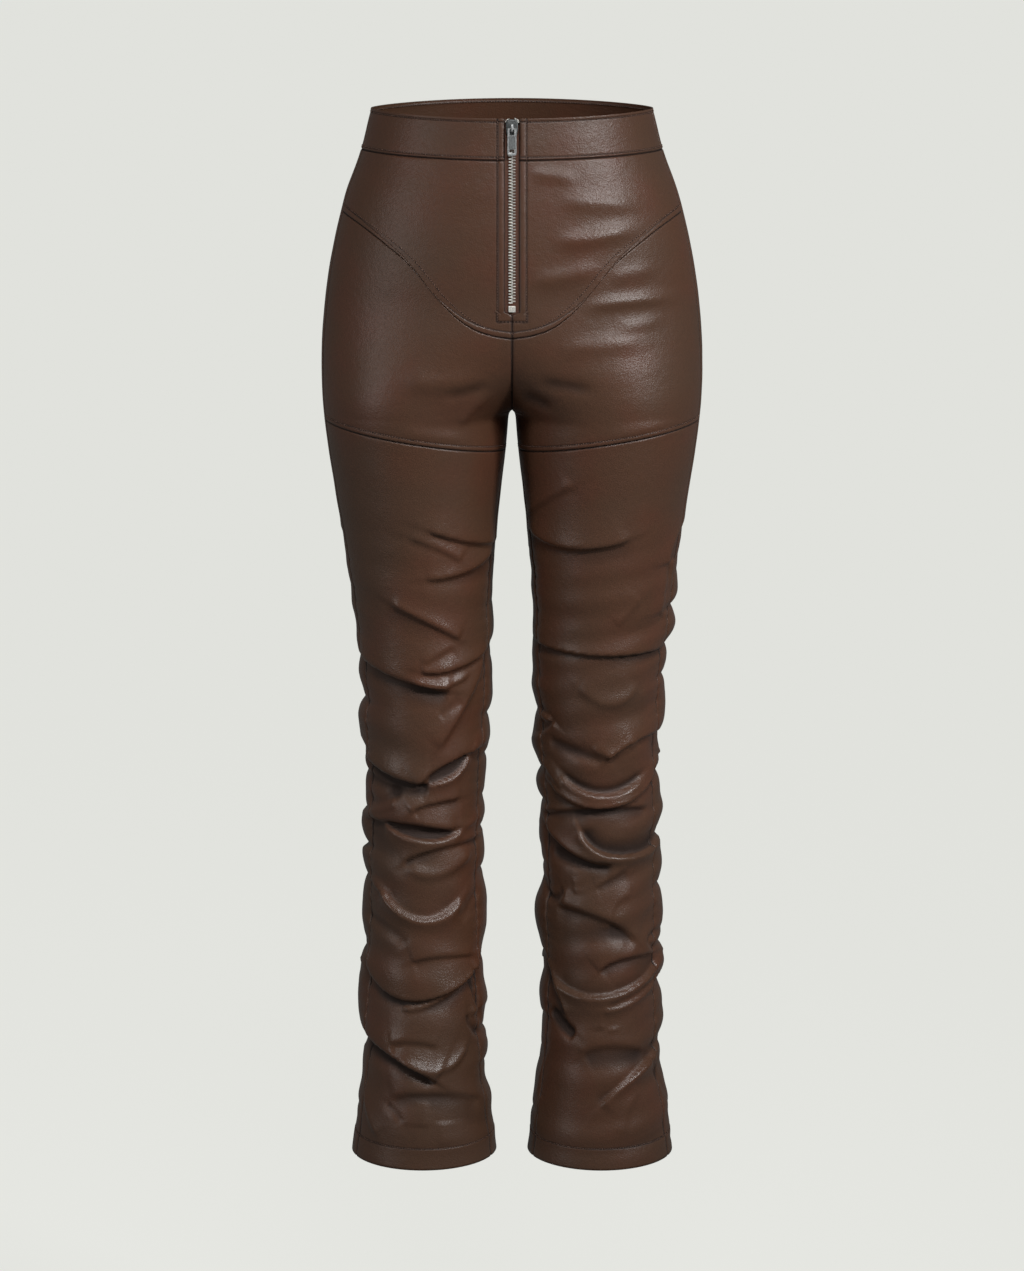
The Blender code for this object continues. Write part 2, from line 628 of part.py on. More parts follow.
def as_object(name, work, frame, material):
    bmesh.ops.recalc_face_normals(work, faces=work.faces)
    mesh = bpy.data.meshes.new(name)
    work.to_mesh(mesh)
    work.free()
    mesh.materials.append(material)
    mesh.shade_smooth()
    mesh.set_sharp_from_angle(angle=math.radians(40))
    thing = bpy.data.objects.new(name, mesh)
    bpy.context.collection.objects.link(thing)
    thing.matrix_world = frame
    return thing


def boolean(thing, other, operation):
    """Joins another object to this one or cuts it away, and leaves the other as a guide."""
    step = thing.modifiers.new(operation.lower(), "BOOLEAN")
    step.operation = operation
    step.object = other
    other.hide_render = True
    other.display_type = "WIRE"


def zip_slider(metal):
    """A tapered plate over the teeth, with an arched bail that holds the tab."""
    frame = slider_frame()
    work = bmesh.new()
    behind = SEAM_GAP - CLOTH - TAPE_CLEAR
    other_half = [Corner(-corner.across, corner.down) for corner in reversed(SLIDER_OUTLINE)]
    outline = list(SLIDER_OUTLINE) + other_half
    ring = [work.verts.new((corner.across * MM, corner.down * MM, behind * MM)) for corner in outline]
    raised = bmesh.ops.extrude_face_region(work, geom=[work.faces.new(ring)])
    lifted = [g for g in raised["geom"] if isinstance(g, bmesh.types.BMVert)]
    bmesh.ops.translate(work, vec=(0, 0, (SLIDER_FACE - behind) * MM), verts=lifted)
    slider = as_object("zip_slider", work, frame, metal)

    work = bmesh.new()
    block(work, (-BAIL_HALF, BAIL_TOP, SLIDER_FACE - BAIL_SUNK), (BAIL_HALF, BAIL_END, BAIL_OUT))
    bail = as_object("bail_block", work, frame, metal)
    work = bmesh.new()
    low = (-BAIL_HALF - 1, BAIL_TOP + BAIL_BAR, SLIDER_FACE)
    high = (BAIL_HALF + 1, BAIL_END - BAIL_BAR, BAIL_OUT - BAIL_BAR)
    block(work, low, high)
    opening = as_object("bail_opening", work, frame, metal)
    boolean(bail, opening, "DIFFERENCE")
    boolean(slider, bail, "UNION")


def zip_pull_tab(metal):
    """A flat tab whose top bar lies under the bail. Its origin is on the bar, the axis it swings about."""
    down, out = TAB_PIVOT
    frame = slider_frame() @ Matrix.Translation((0, down * MM, out * MM))
    half = TAB_THICK / 2
    work = bmesh.new()
    block(work, (-TAB_HALF, -half, -half), (TAB_HALF, TAB_LENGTH - half, half))
    uprights = [e for e in work.edges if abs(e.verts[0].co.z - e.verts[1].co.z) > half * MM]
    foot = [e for e in uprights if e.verts[0].co.y > 0]
    bmesh.ops.bevel(work, geom=foot, offset=TAB_ROUNDING * MM, segments=3, affect="EDGES", profile=0.5)
    tab = as_object("zip_pull_tab", work, frame, metal)

    window, slot = TAB_WINDOW, TAB_SLOT
    work = bmesh.new()
    block(work, (-window[0] / 2, half, -CUT_THROUGH), (window[0] / 2, half + window[1], CUT_THROUGH))
    cutter = as_object("tab_window", work, frame, metal)
    boolean(tab, cutter, "DIFFERENCE")
    work = bmesh.new()
    top, foot = TAB_SLOT_AT - slot[1] / 2, TAB_SLOT_AT + slot[1] / 2
    block(work, (-slot[0] / 2, top, -CUT_THROUGH), (slot[0] / 2, foot, CUT_THROUGH))
    cutter = as_object("tab_slot", work, frame, metal)
    boolean(tab, cutter, "DIFFERENCE")


def build():
    for thing in list(bpy.data.objects):
        bpy.data.objects.remove(thing)
    leather = finish_material("faux_leather", (0.060, 0.030, 0.021), 0.42, 0.0)
    fabric = finish_material("zip_tape", (0.035, 0.020, 0.016), 0.85, 0.0)
    steel = finish_material("zip_metal", (0.42, 0.41, 0.40), 0.32, 1.0)

    waistband_back(leather)
    for side in SIDES:
        waistband_front(side, leather)
        front_yoke(side, leather)
        front_hip(side, leather)
        front_leg(side, leather)
        back_panel(side, leather)
        zip_tape(side, fabric)
    strip_down_front("zip_chain", CHAIN_TOP, CHAIN_END, CHAIN_ROWS, CHAIN_HALF, CHAIN_PROUD, steel)
    strip_down_front("zip_bottom_stop", CHAIN_END + SEAM_GAP, STOP_END, 2, CHAIN_HALF, STOP_PROUD, steel)
    zip_slider(steel)
    zip_pull_tab(steel)


build()
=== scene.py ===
import math
from collections import namedtuple

import bpy
import numpy as np
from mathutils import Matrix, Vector


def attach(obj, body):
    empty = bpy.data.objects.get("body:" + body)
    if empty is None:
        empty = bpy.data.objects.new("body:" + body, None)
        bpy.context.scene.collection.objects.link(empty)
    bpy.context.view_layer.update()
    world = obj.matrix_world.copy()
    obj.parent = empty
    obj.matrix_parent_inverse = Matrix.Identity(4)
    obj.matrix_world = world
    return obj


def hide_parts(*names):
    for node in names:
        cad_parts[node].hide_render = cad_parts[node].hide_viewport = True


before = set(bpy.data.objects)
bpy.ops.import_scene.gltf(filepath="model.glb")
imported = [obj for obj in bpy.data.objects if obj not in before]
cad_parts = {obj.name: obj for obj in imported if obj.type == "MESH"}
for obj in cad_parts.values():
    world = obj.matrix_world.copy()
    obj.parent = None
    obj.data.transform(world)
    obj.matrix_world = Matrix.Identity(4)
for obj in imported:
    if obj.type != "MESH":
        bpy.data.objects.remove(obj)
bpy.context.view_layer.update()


# ---------------------------------------------------------------- the set
# A pale floor a little below the hems, and soft boxes above, in front and at both sides. The camera
# stands 3.45 m away at waist height and looks down by eleven degrees, so the floor fills the picture.

CAMERA_PLACE = (0.0, -3.45, 0.18)
CAMERA_TILT = math.radians(10.831)
CAMERA_LENS = 108.53
FLOOR_DROP = 1.30
FLOOR_HALF = 200.0
SQUARE = ((-1, -1), (1, -1), (1, 1), (-1, 1))
PAPER_COLOUR = (0.10, 0.10, 0.098, 1)
PAPER_GLOW = (0.739, 0.746, 0.709, 1)
PAPER_ROUGHNESS = 0.9
STUDIO_COLOUR = (0.98, 1.0, 0.97, 1)
STUDIO_STRENGTH = 0.14

camera = bpy.data.objects.new("camera", bpy.data.cameras.new("camera"))
camera.location = CAMERA_PLACE
camera.rotation_euler = (math.pi / 2 - CAMERA_TILT, 0, 0)
camera.data.lens = CAMERA_LENS
camera.data.sensor_width = 36
camera.data.clip_end = 100
bpy.context.collection.objects.link(camera)
bpy.context.scene.camera = camera

floor_mesh = bpy.data.meshes.new("floor")
corners = [(x * FLOOR_HALF, y * FLOOR_HALF, -FLOOR_DROP) for x, y in SQUARE]
floor_mesh.from_pydata(corners, [], [(0, 1, 2, 3)])
floor = bpy.data.objects.new("floor", floor_mesh)
bpy.context.collection.objects.link(floor)
paper = bpy.data.materials.new("pale_paper")
paper.use_nodes = True
paper_shader = paper.node_tree.nodes["Principled BSDF"]
paper_shader.inputs["Base Color"].default_value = PAPER_COLOUR
paper_shader.inputs["Roughness"].default_value = PAPER_ROUGHNESS
paper_shader.inputs["Specular IOR Level"].default_value = 0.0
paper_shader.inputs["Emission Color"].default_value = PAPER_GLOW
paper_shader.inputs["Emission Strength"].default_value = 1.0
floor_mesh.materials.append(paper)
floor.visible_glossy = False
floor.visible_diffuse = False

# The boxes have grids in front, which narrow the spread of their light, given in degrees.
SoftBox = namedtuple("SoftBox", "name place aim width height power spread")
SOFT_BOXES = (
    SoftBox("key_box", (2.5, -2.0, 1.25), (0.0, 0.0, -0.40), 0.5, 0.7, 4.2, 42),
    SoftBox("fill_box", (-2.6, -1.6, 0.0), (0.0, 0.0, -0.42), 0.5, 1.5, 0.9, 42),
    SoftBox("top_box", (0.3, -2.3, 1.8), (0.0, 0.0, -0.5), 1.2, 0.4, 3.3, 42),
)
for box in SOFT_BOXES:
    lamp = bpy.data.lights.new(box.name, "AREA")
    lamp.shape = "RECTANGLE"
    lamp.size = box.width
    lamp.size_y = box.height
    lamp.energy = box.power
    lamp.spread = math.radians(box.spread)
    lamp_object = bpy.data.objects.new(box.name, lamp)
    lamp_object.location = box.place
    lamp_object.rotation_euler = (Vector(box.aim) - Vector(box.place)).to_track_quat("-Z", "Y").to_euler()
    bpy.context.collection.objects.link(lamp_object)

world = bpy.data.worlds.new("studio")
world.use_nodes = True
background = world.node_tree.nodes["Background"]
background.inputs["Color"].default_value = STUDIO_COLOUR
background.inputs["Strength"].default_value = STUDIO_STRENGTH
bpy.context.scene.world = world
bpy.context.scene.view_settings.view_transform = "Standard"


# ---------------------------------------------------------------- the back panels
# Each back is one piece of faux leather, a coated knit about 1.2 mm thick, from the band to the hem. The
# two are sewn together up the centre back and to the fronts at the side seams and inseams, and between
# thigh and calf those seams are gathered, which throws the leg into its folds.

MM = 0.001
LEATHER = 1.2
CROTCH_DROP = 271.0
HEM_DROP = 970.0
BAND_WIDTH = 36.0
WAIST_DIP_FRONT = 5.0
WAIST_RISE_BACK = 4.0
THIGH_SEAM_SIDE = 278.0
THIGH_SEAM_INNER = 307.0
THIGH_SEAM_STRETCH = 0.85
ARCH_GAP = 3.2
ARCH_FALL = 2.5
FRONT_RISE_CURVE = 110.0
BACK_RISE_CURVE = 160.0
RISE_EASE = 1.6
SIDES = {"right": -1, "left": 1}

# The outline at each drop below the waist, in millimetres, as the solids have it.
Level = namedtuple("Level", "drop outer inner front back centre")
LEVELS = (
    Level(-10, 122.5, ARCH_GAP, -86.5, 88.5, 0),
    Level(0, 125.5, ARCH_GAP, -88, 90, 0),
    Level(38, 135.5, ARCH_GAP, -93, 97, 0),
    Level(75, 149, ARCH_GAP, -98, 105, 0),
    Level(110, 158, ARCH_GAP, -101, 114, 0),
    Level(145, 165, ARCH_GAP, -102, 122, 0),
    Level(180, 169.5, ARCH_GAP, -101, 127, 0),
    Level(215, 172, ARCH_GAP, -99, 128, 1),
    Level(250, 172, ARCH_GAP, -96, 120, 2),
    Level(275, 170.5, ARCH_GAP, -93, 110, 3),
    Level(305, 167, 5.4, -89, 101, 4),
    Level(345, 161, 10, -83, 92, 5),
    Level(400, 152.5, 15.5, -75, 82, 6),
    Level(455, 145.5, 19, -68, 75, 7),
    Level(510, 137.5, 20.5, -62, 70, 8),
    Level(560, 135, 23, -58, 68, 9),
    Level(620, 133.5, 27, -54, 68, 10),
    Level(700, 134, 29, -53, 67, 10),
    Level(780, 135, 29.5, -55, 66, 9),
    Level(850, 135.5, 28, -58, 66, 7),
    Level(900, 139.5, 24, -62, 67, 5),
    Level(935, 145.5, 18.5, -65, 68, 3),
    Level(970, 150, 15, -68, 70, 2),
    Level(980, 151, 14, -69, 71, 2),
)

# How far the side seam and the inseam run in front of the widest point, in degrees.
SeamLine = namedtuple("SeamLine", "drop side inner")
SEAM_LINES = (
    SeamLine(-10, 9, 0),
    SeamLine(200, 11, 0),
    SeamLine(271, 13, 0),
    SeamLine(330, 15, 8),
    SeamLine(420, 19, 18),
    SeamLine(520, 22, 22),
    SeamLine(980, 22, 22),
)


def through(table, column, at):
    """A smooth curve through one column of a table: cubic pieces whose slopes are the central ones."""
    xs = np.array([row[0] for row in table], float)
    ys = np.array([getattr(row, column) for row in table], float)
    slopes = np.gradient(ys, xs)
    at = np.clip(np.asarray(at, float), xs[0], xs[-1])
    i = np.clip(np.searchsorted(xs, at) - 1, 0, len(xs) - 2)
    step = xs[i + 1] - xs[i]
    t = (at - xs[i]) / step
    start = ys[i] * (1 + 2 * t) * (1 - t) ** 2 + slopes[i] * step * t * (1 - t) ** 2
    end = ys[i + 1] * t * t * (3 - 2 * t) - slopes[i + 1] * step * t * t * (1 - t)
    return start + end


def smoothstep(t):
    """0 below 0, 1 above 1, and three t squared less two t cubed between."""
    t = np.clip(t, 0.0, 1.0)
    return t * t * (3 - 2 * t)


def leg_split(drop, curve):
    """How far the hips have parted into legs: a power of the share of the rise curve passed."""
    return np.clip(1 - (CROTCH_DROP - drop) / curve, 0, 1) ** RISE_EASE


def smooth_cloth(angle, drop):
    """The unfolded surface of the left half, in millimetres.

    x is the oval's middle plus its half width times the cosine of the angle, y is the side seam's depth
    plus the front or back depth times the sine, and z is minus the drop.
    """
    outer = through(LEVELS, "outer", drop)
    closing = ARCH_GAP * np.exp(-np.maximum(drop - CROTCH_DROP, 0) / ARCH_FALL)
    inner = through(LEVELS, "inner", drop) - closing
    front = np.sin(angle) < 0
    split = leg_split(drop, np.where(front, FRONT_RISE_CURVE, BACK_RISE_CURVE))
    below = drop >= CROTCH_DROP
    middle = np.where(below, (outer + inner) / 2, outer * split * (1 - split / 2))
    half_in = np.where(below, (outer - inner) / 2, outer * (1 - split / 2))
    half = np.where(np.cos(angle) > 0, outer - middle, half_in)
    centre = through(LEVELS, "centre", drop)
    depth = np.where(front, centre - through(LEVELS, "front", drop), through(LEVELS, "back", drop) - centre)
    return np.stack([middle + half * np.cos(angle), centre + depth * np.sin(angle), -drop], axis=-1)


def outward(angle, drop):
    """The unit normal of the unfolded surface: the cross product of small steps down and round."""
    turn, fall = 1e-3, 0.2
    round_leg = smooth_cloth(angle + turn, drop) - smooth_cloth(angle - turn, drop)
    down_leg = smooth_cloth(angle, drop + fall) - smooth_cloth(angle, drop - fall)
    normal = np.cross(down_leg, round_leg)
    return normal / np.linalg.norm(normal, axis=-1, keepdims=True)


# A fold runs over three points, each as its share of the way across the front from the inseam and its
# drop. Its crest stands "ridge" above the cloth, fades over "up" above and "down" below, has a tuck under
# it, and hangs over that tuck by "hang". With no ridge the line is a plain trough as wide as "up", and
# with a minus sign on its ridge the fold is turned over, with the tuck above its crest.
Fold = namedtuple("Fold", "a0 d0 a1 d1 a2 d2 ridge up down tuck hang")
RIGHT_FOLDS = (
    Fold(0.02, 391, 0.17, 386, 0.45, 371, 2.2, 9, 3, 1.2, 0.5),
    Fold(0.02, 400, 0.17, 413, 0.46, 418, 2.4, 7, 3.5, 1.0, 0.3),
    Fold(0.24, 402, 0.36, 391, 0.56, 379, 1.5, 8, 4, 0.5, 0),
    Fold(0.24, 476, 0.45, 459, 0.72, 441, 2.7, 5, 5, 0.8, 0.3),
    Fold(0.26, 481, 0.37, 487, 0.50, 495, 0.8, 6, 3, 1.0, 0),
    Fold(0.03, 489, 0.27, 502, 0.53, 502, 2.5, 10, 3, 1.8, 0.6),
    Fold(0.98, 495, 0.65, 512, 0.30, 523, 3.0, 12, 3, 1.8, 0.8),
    Fold(0.61, 510, 0.38, 518, 0.15, 509, 1.7, 2.5, 3, 0.5, 0),
    Fold(0.05, 506, 0.18, 543, 0.37, 577, 2.5, 8, 7, 0.8, 0),
    Fold(0.21, 531, 0.30, 538, 0.38, 545, 0, 5, 0, 1.0, 0),
    Fold(1.00, 584, 0.77, 603, 0.45, 609, 3.0, 14, 3.0, 4.2, 1.2),
    Fold(0.55, 609, 0.29, 590, 0.03, 581, 2.0, 10, 3, 2.2, 0.6),
    Fold(0.49, 607, 0.25, 599, 0.14, 583, -3.0, 3.5, 2.5, 1.5, 0.4),
    Fold(0.98, 605, 0.79, 613, 0.53, 617, 1.5, 3, 4, 0, 0),
    Fold(0.97, 630, 0.85, 629, 0.72, 612, 0, 6, 0, 2.0, 0),
    Fold(1.00, 651, 0.88, 640, 0.72, 629, 1.5, 5, 4, 0, 0),
    Fold(0.59, 636, 0.45, 628, 0.18, 625, 1.8, 8, 3, 1.5, 0.5),
    Fold(0.55, 645, 0.28, 653, 0.01, 652, 1.5, 4, 4, 0, 0),
    Fold(0.97, 650, 0.62, 648, 0.23, 656, 1.5, 6, 4, 3.0, 0.8),
    Fold(0.86, 645, 0.49, 659, 0.16, 651, -3.0, 4, 2.5, 1.6, 0.4),
    Fold(0.01, 668, 0.36, 670, 0.68, 685, 1.2, 5, 3, 2.0, 0.4),
    Fold(0.68, 691, 0.37, 700, 0.07, 682, 2.4, 8, 8, 0, 0),
    Fold(0.85, 708, 0.50, 732, 0.18, 715, -3.2, 7, 5, 0.9, 0),
    Fold(1.00, 706, 0.92, 711, 0.82, 720, 2.0, 3, 3, 0, 0),
    Fold(0.98, 740, 0.78, 749, 0.65, 760, 0, 7, 0, 1.5, 0),
    Fold(0.01, 710, 0.08, 724, 0.18, 739, 0, 7, 0, 1.2, 0),
    Fold(0.98, 782, 0.61, 813, 0.02, 783, 3.0, 14, 3, 2.5, 1.0),
    Fold(0.69, 823, 0.35, 814, 0.04, 787, 2.5, 3, 3, 0, 0),
    Fold(0.59, 777, 0.35, 772, 0.07, 777, 1.5, 8, 3, 1.2, 0.3),
    Fold(0.09, 786, 0.06, 811, 0.03, 833, 0, 3, 0, 2.5, 0),
    Fold(0.08, 834, 0.03, 832, 0.00, 831, 2.0, 4, 4, 0, 0),
    Fold(0.11, 830, 0.07, 846, 0.00, 862, 0, 4, 0, 2.0, 0),
    Fold(0.98, 853, 0.69, 870, 0.40, 889, 4.0, 16, 2.5, 3.8, 1.5),
    Fold(0.76, 856, 0.59, 852, 0.38, 857, 1.0, 8, 4, 1.5, 0),
    Fold(0.73, 869, 0.35, 881, 0.11, 859, 2.0, 4, 5, 0, 0),
    Fold(0.76, 908, 0.41, 901, 0.07, 915, 1.5, 14, 5, 1.5, 0),
    Fold(0.42, 906, 0.43, 925, 0.42, 950, 1.0, 9, 9, 0, 0),
    Fold(0.79, 912, 0.72, 918, 0.66, 927, 0, 4, 0, 1.0, 0),
    Fold(0.98, 905, 0.94, 924, 0.85, 946, 1.5, 5, 5, 0, 0),
)
LEFT_FOLDS = (
    Fold(0.05, 362, 0.15, 348, 0.32, 331, 1.2, 6, 4, 0.5, 0),
    Fold(0.03, 381, 0.30, 390, 0.66, 380, 2.4, 10, 3.5, 1.2, 0.4),
    Fold(1.00, 375, 0.96, 387, 0.94, 410, 1.8, 5, 5, 1.0, 0),
    Fold(0.94, 418, 0.93, 441, 0.93, 469, 1.2, 6, 6, 0, 0),
    Fold(0.78, 437, 0.70, 450, 0.62, 461, 1.0, 6, 6, 0, 0),
    Fold(0.01, 482, 0.49, 487, 1.00, 487, 1.9, 7, 2, 1.8, 1.0),
    Fold(0.31, 521, 0.60, 538, 0.83, 520, 1.6, 8, 7, 0, 0),
    Fold(0.04, 546, 0.12, 554, 0.01, 570, -1.6, 4, 3, 1.0, 0),
    Fold(0.99, 568, 0.79, 570, 0.57, 586, 2.4, 10, 2.5, 1.6, 0.8),
    Fold(0.41, 575, 0.59, 585, 0.83, 573, 2.0, 6, 6, 0, 0),
    Fold(0.09, 572, 0.30, 578, 0.54, 587, 0, 6, 0, 2.0, 0),
    Fold(0.16, 596, 0.50, 614, 0.89, 599, 0, 4, 0, 1.6, 0),
    Fold(0.18, 600, 0.50, 616, 0.86, 603, -2.4, 3.5, 2.5, 1.0, 0),
    Fold(0.08, 614, 0.52, 631, 0.95, 610, 3.2, 5, 3, 1.4, 0.5),
    Fold(0.02, 598, 0.10, 607, 0.18, 616, 1.5, 4, 4, 0, 0),
    Fold(0.03, 644, 0.50, 632, 0.91, 637, 1.5, 6, 3, 1.8, 0.4),
    Fold(0.33, 651, 0.62, 674, 1.00, 670, -3.0, 5, 2.5, 3.0, 1.0),
    Fold(0.03, 656, 0.30, 679, 0.60, 685, 2.4, 6, 4, 2.0, 0.4),
    Fold(0.08, 676, 0.32, 683, 0.61, 686, 0, 5, 0, 2.0, 0),
    Fold(0.45, 706, 0.58, 699, 0.73, 690, 1.0, 4, 3, 0.8, 0),
    Fold(0.02, 713, 0.09, 722, 0.17, 709, 0, 4, 0, 2.2, 0),
    Fold(0.23, 698, 0.24, 711, 0.22, 725, 0.8, 6, 6, 0, 0),
    Fold(0.77, 717, 0.63, 724, 0.58, 745, 1.0, 4, 4, 0, 0),
    Fold(0.11, 728, 0.49, 736, 0.80, 761, 2.0, 12, 5, 2.2, 0),
    Fold(1.00, 757, 0.92, 760, 0.97, 773, 0, 3.5, 0, 2.2, 0),
    Fold(1.00, 782, 0.74, 774, 0.48, 786, 2.0, 10, 3, 1.6, 0.5),
    Fold(0.11, 795, 0.53, 805, 0.99, 781, -3.0, 6, 3, 1.2, 0),
    Fold(0.52, 817, 0.76, 812, 0.98, 797, -2.2, 4, 3, 0.8, 0),
    Fold(0.66, 815, 0.57, 823, 0.55, 842, 1.2, 6, 6, 0, 0),
    Fold(0.03, 786, 0.11, 807, 0.18, 830, 2.0, 3, 4, 2.5, 0),
    Fold(0.07, 829, 0.15, 837, 0.27, 846, 0, 5, 0, 4.0, 0),
    Fold(0.34, 866, 0.58, 857, 0.88, 867, 1.0, 5, 5, 1.4, 0),
    Fold(0.99, 863, 0.74, 884, 0.48, 909, -2.8, 6, 3, 1.0, 0),
    Fold(0.91, 871, 0.97, 897, 1.00, 929, 0, 3, 0, 1.2, 0),
    Fold(0.83, 904, 0.74, 918, 0.69, 938, 1.0, 6, 6, 0, 0),
    Fold(0.07, 875, 0.03, 901, 0.03, 929, 1.0, 4, 4, 0, 0),
)
# The back is gathered as the other leg's front is, a little lower.
BACK_SHIFT = 9.0
LEG_GAUGE = 62.0
FOLD_STEPS = 12
FOLD_REACH = 45.0
FOLD_FADE = 0.16
FADE_START = 0.3
FOLD_OVERRUN = 14.0
FOLD_GAIN = 1.35
OPEN_FROM = 0.06
OPEN_TO = 0.94
LIP_POWER = 1.5
BODY_SHARE = 0.4
BODY_REACH = 2.4
UNDER_REACH = 0.7
TUCK_POWER = 1.6
TUCK_REACH = 0.8
TUCK_RECOVERY = 2.2
TUCK_BEYOND = 2
EDGE_CALM = 0.65
EDGE_FROM = 0.88
CENTRE_CALM = 14.0
HEM_LIVELY = 0.25
HEM_CALM = 25
SEAM_MEETS = 0.05


def bent_line(places):
    """Points along the arc of a parabola that runs through three places."""
    t = np.linspace(0, 1, FOLD_STEPS)[:, None]
    bend = 2 * places[1] - (places[0] + places[2]) / 2
    return places[0] * (1 - t) ** 2 + bend * 2 * t * (1 - t) + places[2] * t ** 2


def nearest_on(line, place):
    """Each place's distance from a line, the share of the line passed there, its run and the way to it.

    A place is dropped at right angles on every stretch of the line, and the shortest drop is kept.
    """
    run = line[1:] - line[:-1]
    to = place[:, None, :] - line[None, :-1]
    share = np.clip((to * run).sum(-1) / (run * run).sum(-1), 0, 1)
    off = to - share[..., None] * run
    gaps = np.hypot(off[..., 0], off[..., 1])
    best = gaps.argmin(axis=1)
    rows = np.arange(len(best))
    return gaps[rows, best], (best + share[rows, best]) / (FOLD_STEPS - 1), run[best], off[rows, best]


def fold_lift(fold, side_sign, angle, drop, lift, sag):
    """Adds one fold to the outward lift and the downward sag of the points near it.

    The distance is measured to an arc through the fold's three places, and is positive above it. Above
    the crest a narrow bell and a wide one are added up, below it a bell drops sharply into the tuck, and
    the tuck recovers slowly further down. An end inside the front fades out, and towards the leg's
    outline the fold flattens.
    """
    places = np.array([[fold.a0, fold.d0], [fold.a1, fold.d1], [fold.a2, fold.d2]], float)
    angles = np.arccos(np.clip(2 * places[:, 0] - 1, -1, 1)) * side_sign
    knots = np.stack([angles * LEG_GAUGE, places[:, 1] + (BACK_SHIFT if side_sign > 0 else 0)], axis=-1)
    line = bent_line(knots)
    middle = knots[1, 0] / LEG_GAUGE
    across = LEG_GAUGE * (middle + np.arctan2(np.sin(angle - middle), np.cos(angle - middle)))
    low, high = line.min(axis=0) - FOLD_REACH, line.max(axis=0) + FOLD_REACH
    near = (across > low[0]) & (across < high[0]) & (drop > low[1]) & (drop < high[1])
    if not near.any():
        return
    gap, along, run, apart = nearest_on(line, np.stack([across[near], drop[near]], axis=-1))
    heading = run * np.where(run[:, :1] == 0, 1, np.sign(run[:, :1]))
    heading /= np.linalg.norm(heading, axis=1, keepdims=True)
    way = -1 if fold.ridge < 0 else 1
    above = way * (heading[:, 1] * apart[:, 0] - heading[:, 0] * apart[:, 1])
    overrun = np.sqrt(np.maximum(gap ** 2 - above ** 2, 0))
    fade = np.exp(-(overrun / FOLD_OVERRUN) ** 2)
    if OPEN_FROM < fold.a0 < OPEN_TO:
        fade *= smoothstep(along / FOLD_FADE + FADE_START)
    if OPEN_FROM < fold.a2 < OPEN_TO:
        fade *= smoothstep((1 - along) / FOLD_FADE + FADE_START)
    fade *= 1 - EDGE_CALM * smoothstep((np.abs(np.cos(angle[near])) - EDGE_FROM) / (1 - EDGE_FROM))
    if fold.ridge:
        rise = above - fold.down
        lip = np.exp(-np.abs(rise / fold.up) ** LIP_POWER)
        body = np.exp(-np.abs(rise / (BODY_REACH * fold.up)) ** 2)
        under = np.exp(-(rise / (UNDER_REACH * fold.down)) ** 2)
        crest = np.where(rise > 0, (1 - BODY_SHARE) * lip + BODY_SHARE * body, under)
        fall = np.where(above > 0, TUCK_REACH * fold.down, TUCK_RECOVERY * (fold.down + TUCK_BEYOND))
        tuck = fold.tuck * np.exp(-np.abs(above / fall) ** TUCK_POWER)
        lift[near] += FOLD_GAIN * (abs(fold.ridge) * crest - tuck) * fade
        sag[near] += way * fold.hang * crest * fade
    else:
        lift[near] -= FOLD_GAIN * fold.tuck * np.exp(-(above / fold.up) ** 2) * fade


def seam_angle(drop, which):
    """The side seam's or the inseam's turn round the leg, in radians."""
    if which == "side":
        return -np.radians(through(SEAM_LINES, "side", drop))
    return np.radians(through(SEAM_LINES, "inner", drop)) - math.pi


RUCHE_TOP = 372.0
RUCHE_END = 905.0
RUCHE_EASE = 40
PUCKER_PITCH = 12.0
PUCKER_HEIGHT = 1.0
PUCKER_REACH = 9.0
PUCKER_POWER = 0.8
PUCKER_REST = 0.5
# The puckers' spacing wanders: in long and short waves down the seam, and in a slant away from it.
WANDER_START = 1.7
WANDER_SIDE = 0.9
WANDER_HEIGHT = 1.6
WANDER_LONG = 27
WANDER_SHORT = 11
SLANT_HEIGHT = 0.11
SLANT_LONG = 35
SEAM_PULL = 0.6
SEAM_PULL_REACH = 7
RIPPLES = 14
RIPPLE_SEED = 5
RIPPLE_LENGTHS = (22, 75)
RIPPLE_SLANTS = (-1.2, 1.2)
RIPPLE_TURNS = (0, 4)
RIPPLE_STARTS = (0, 6.3)
RIPPLE_HEIGHT = 0.75
RIPPLE_LEAST = 0.10
RIPPLE_FROM = 340
RIPPLE_EASE = 120

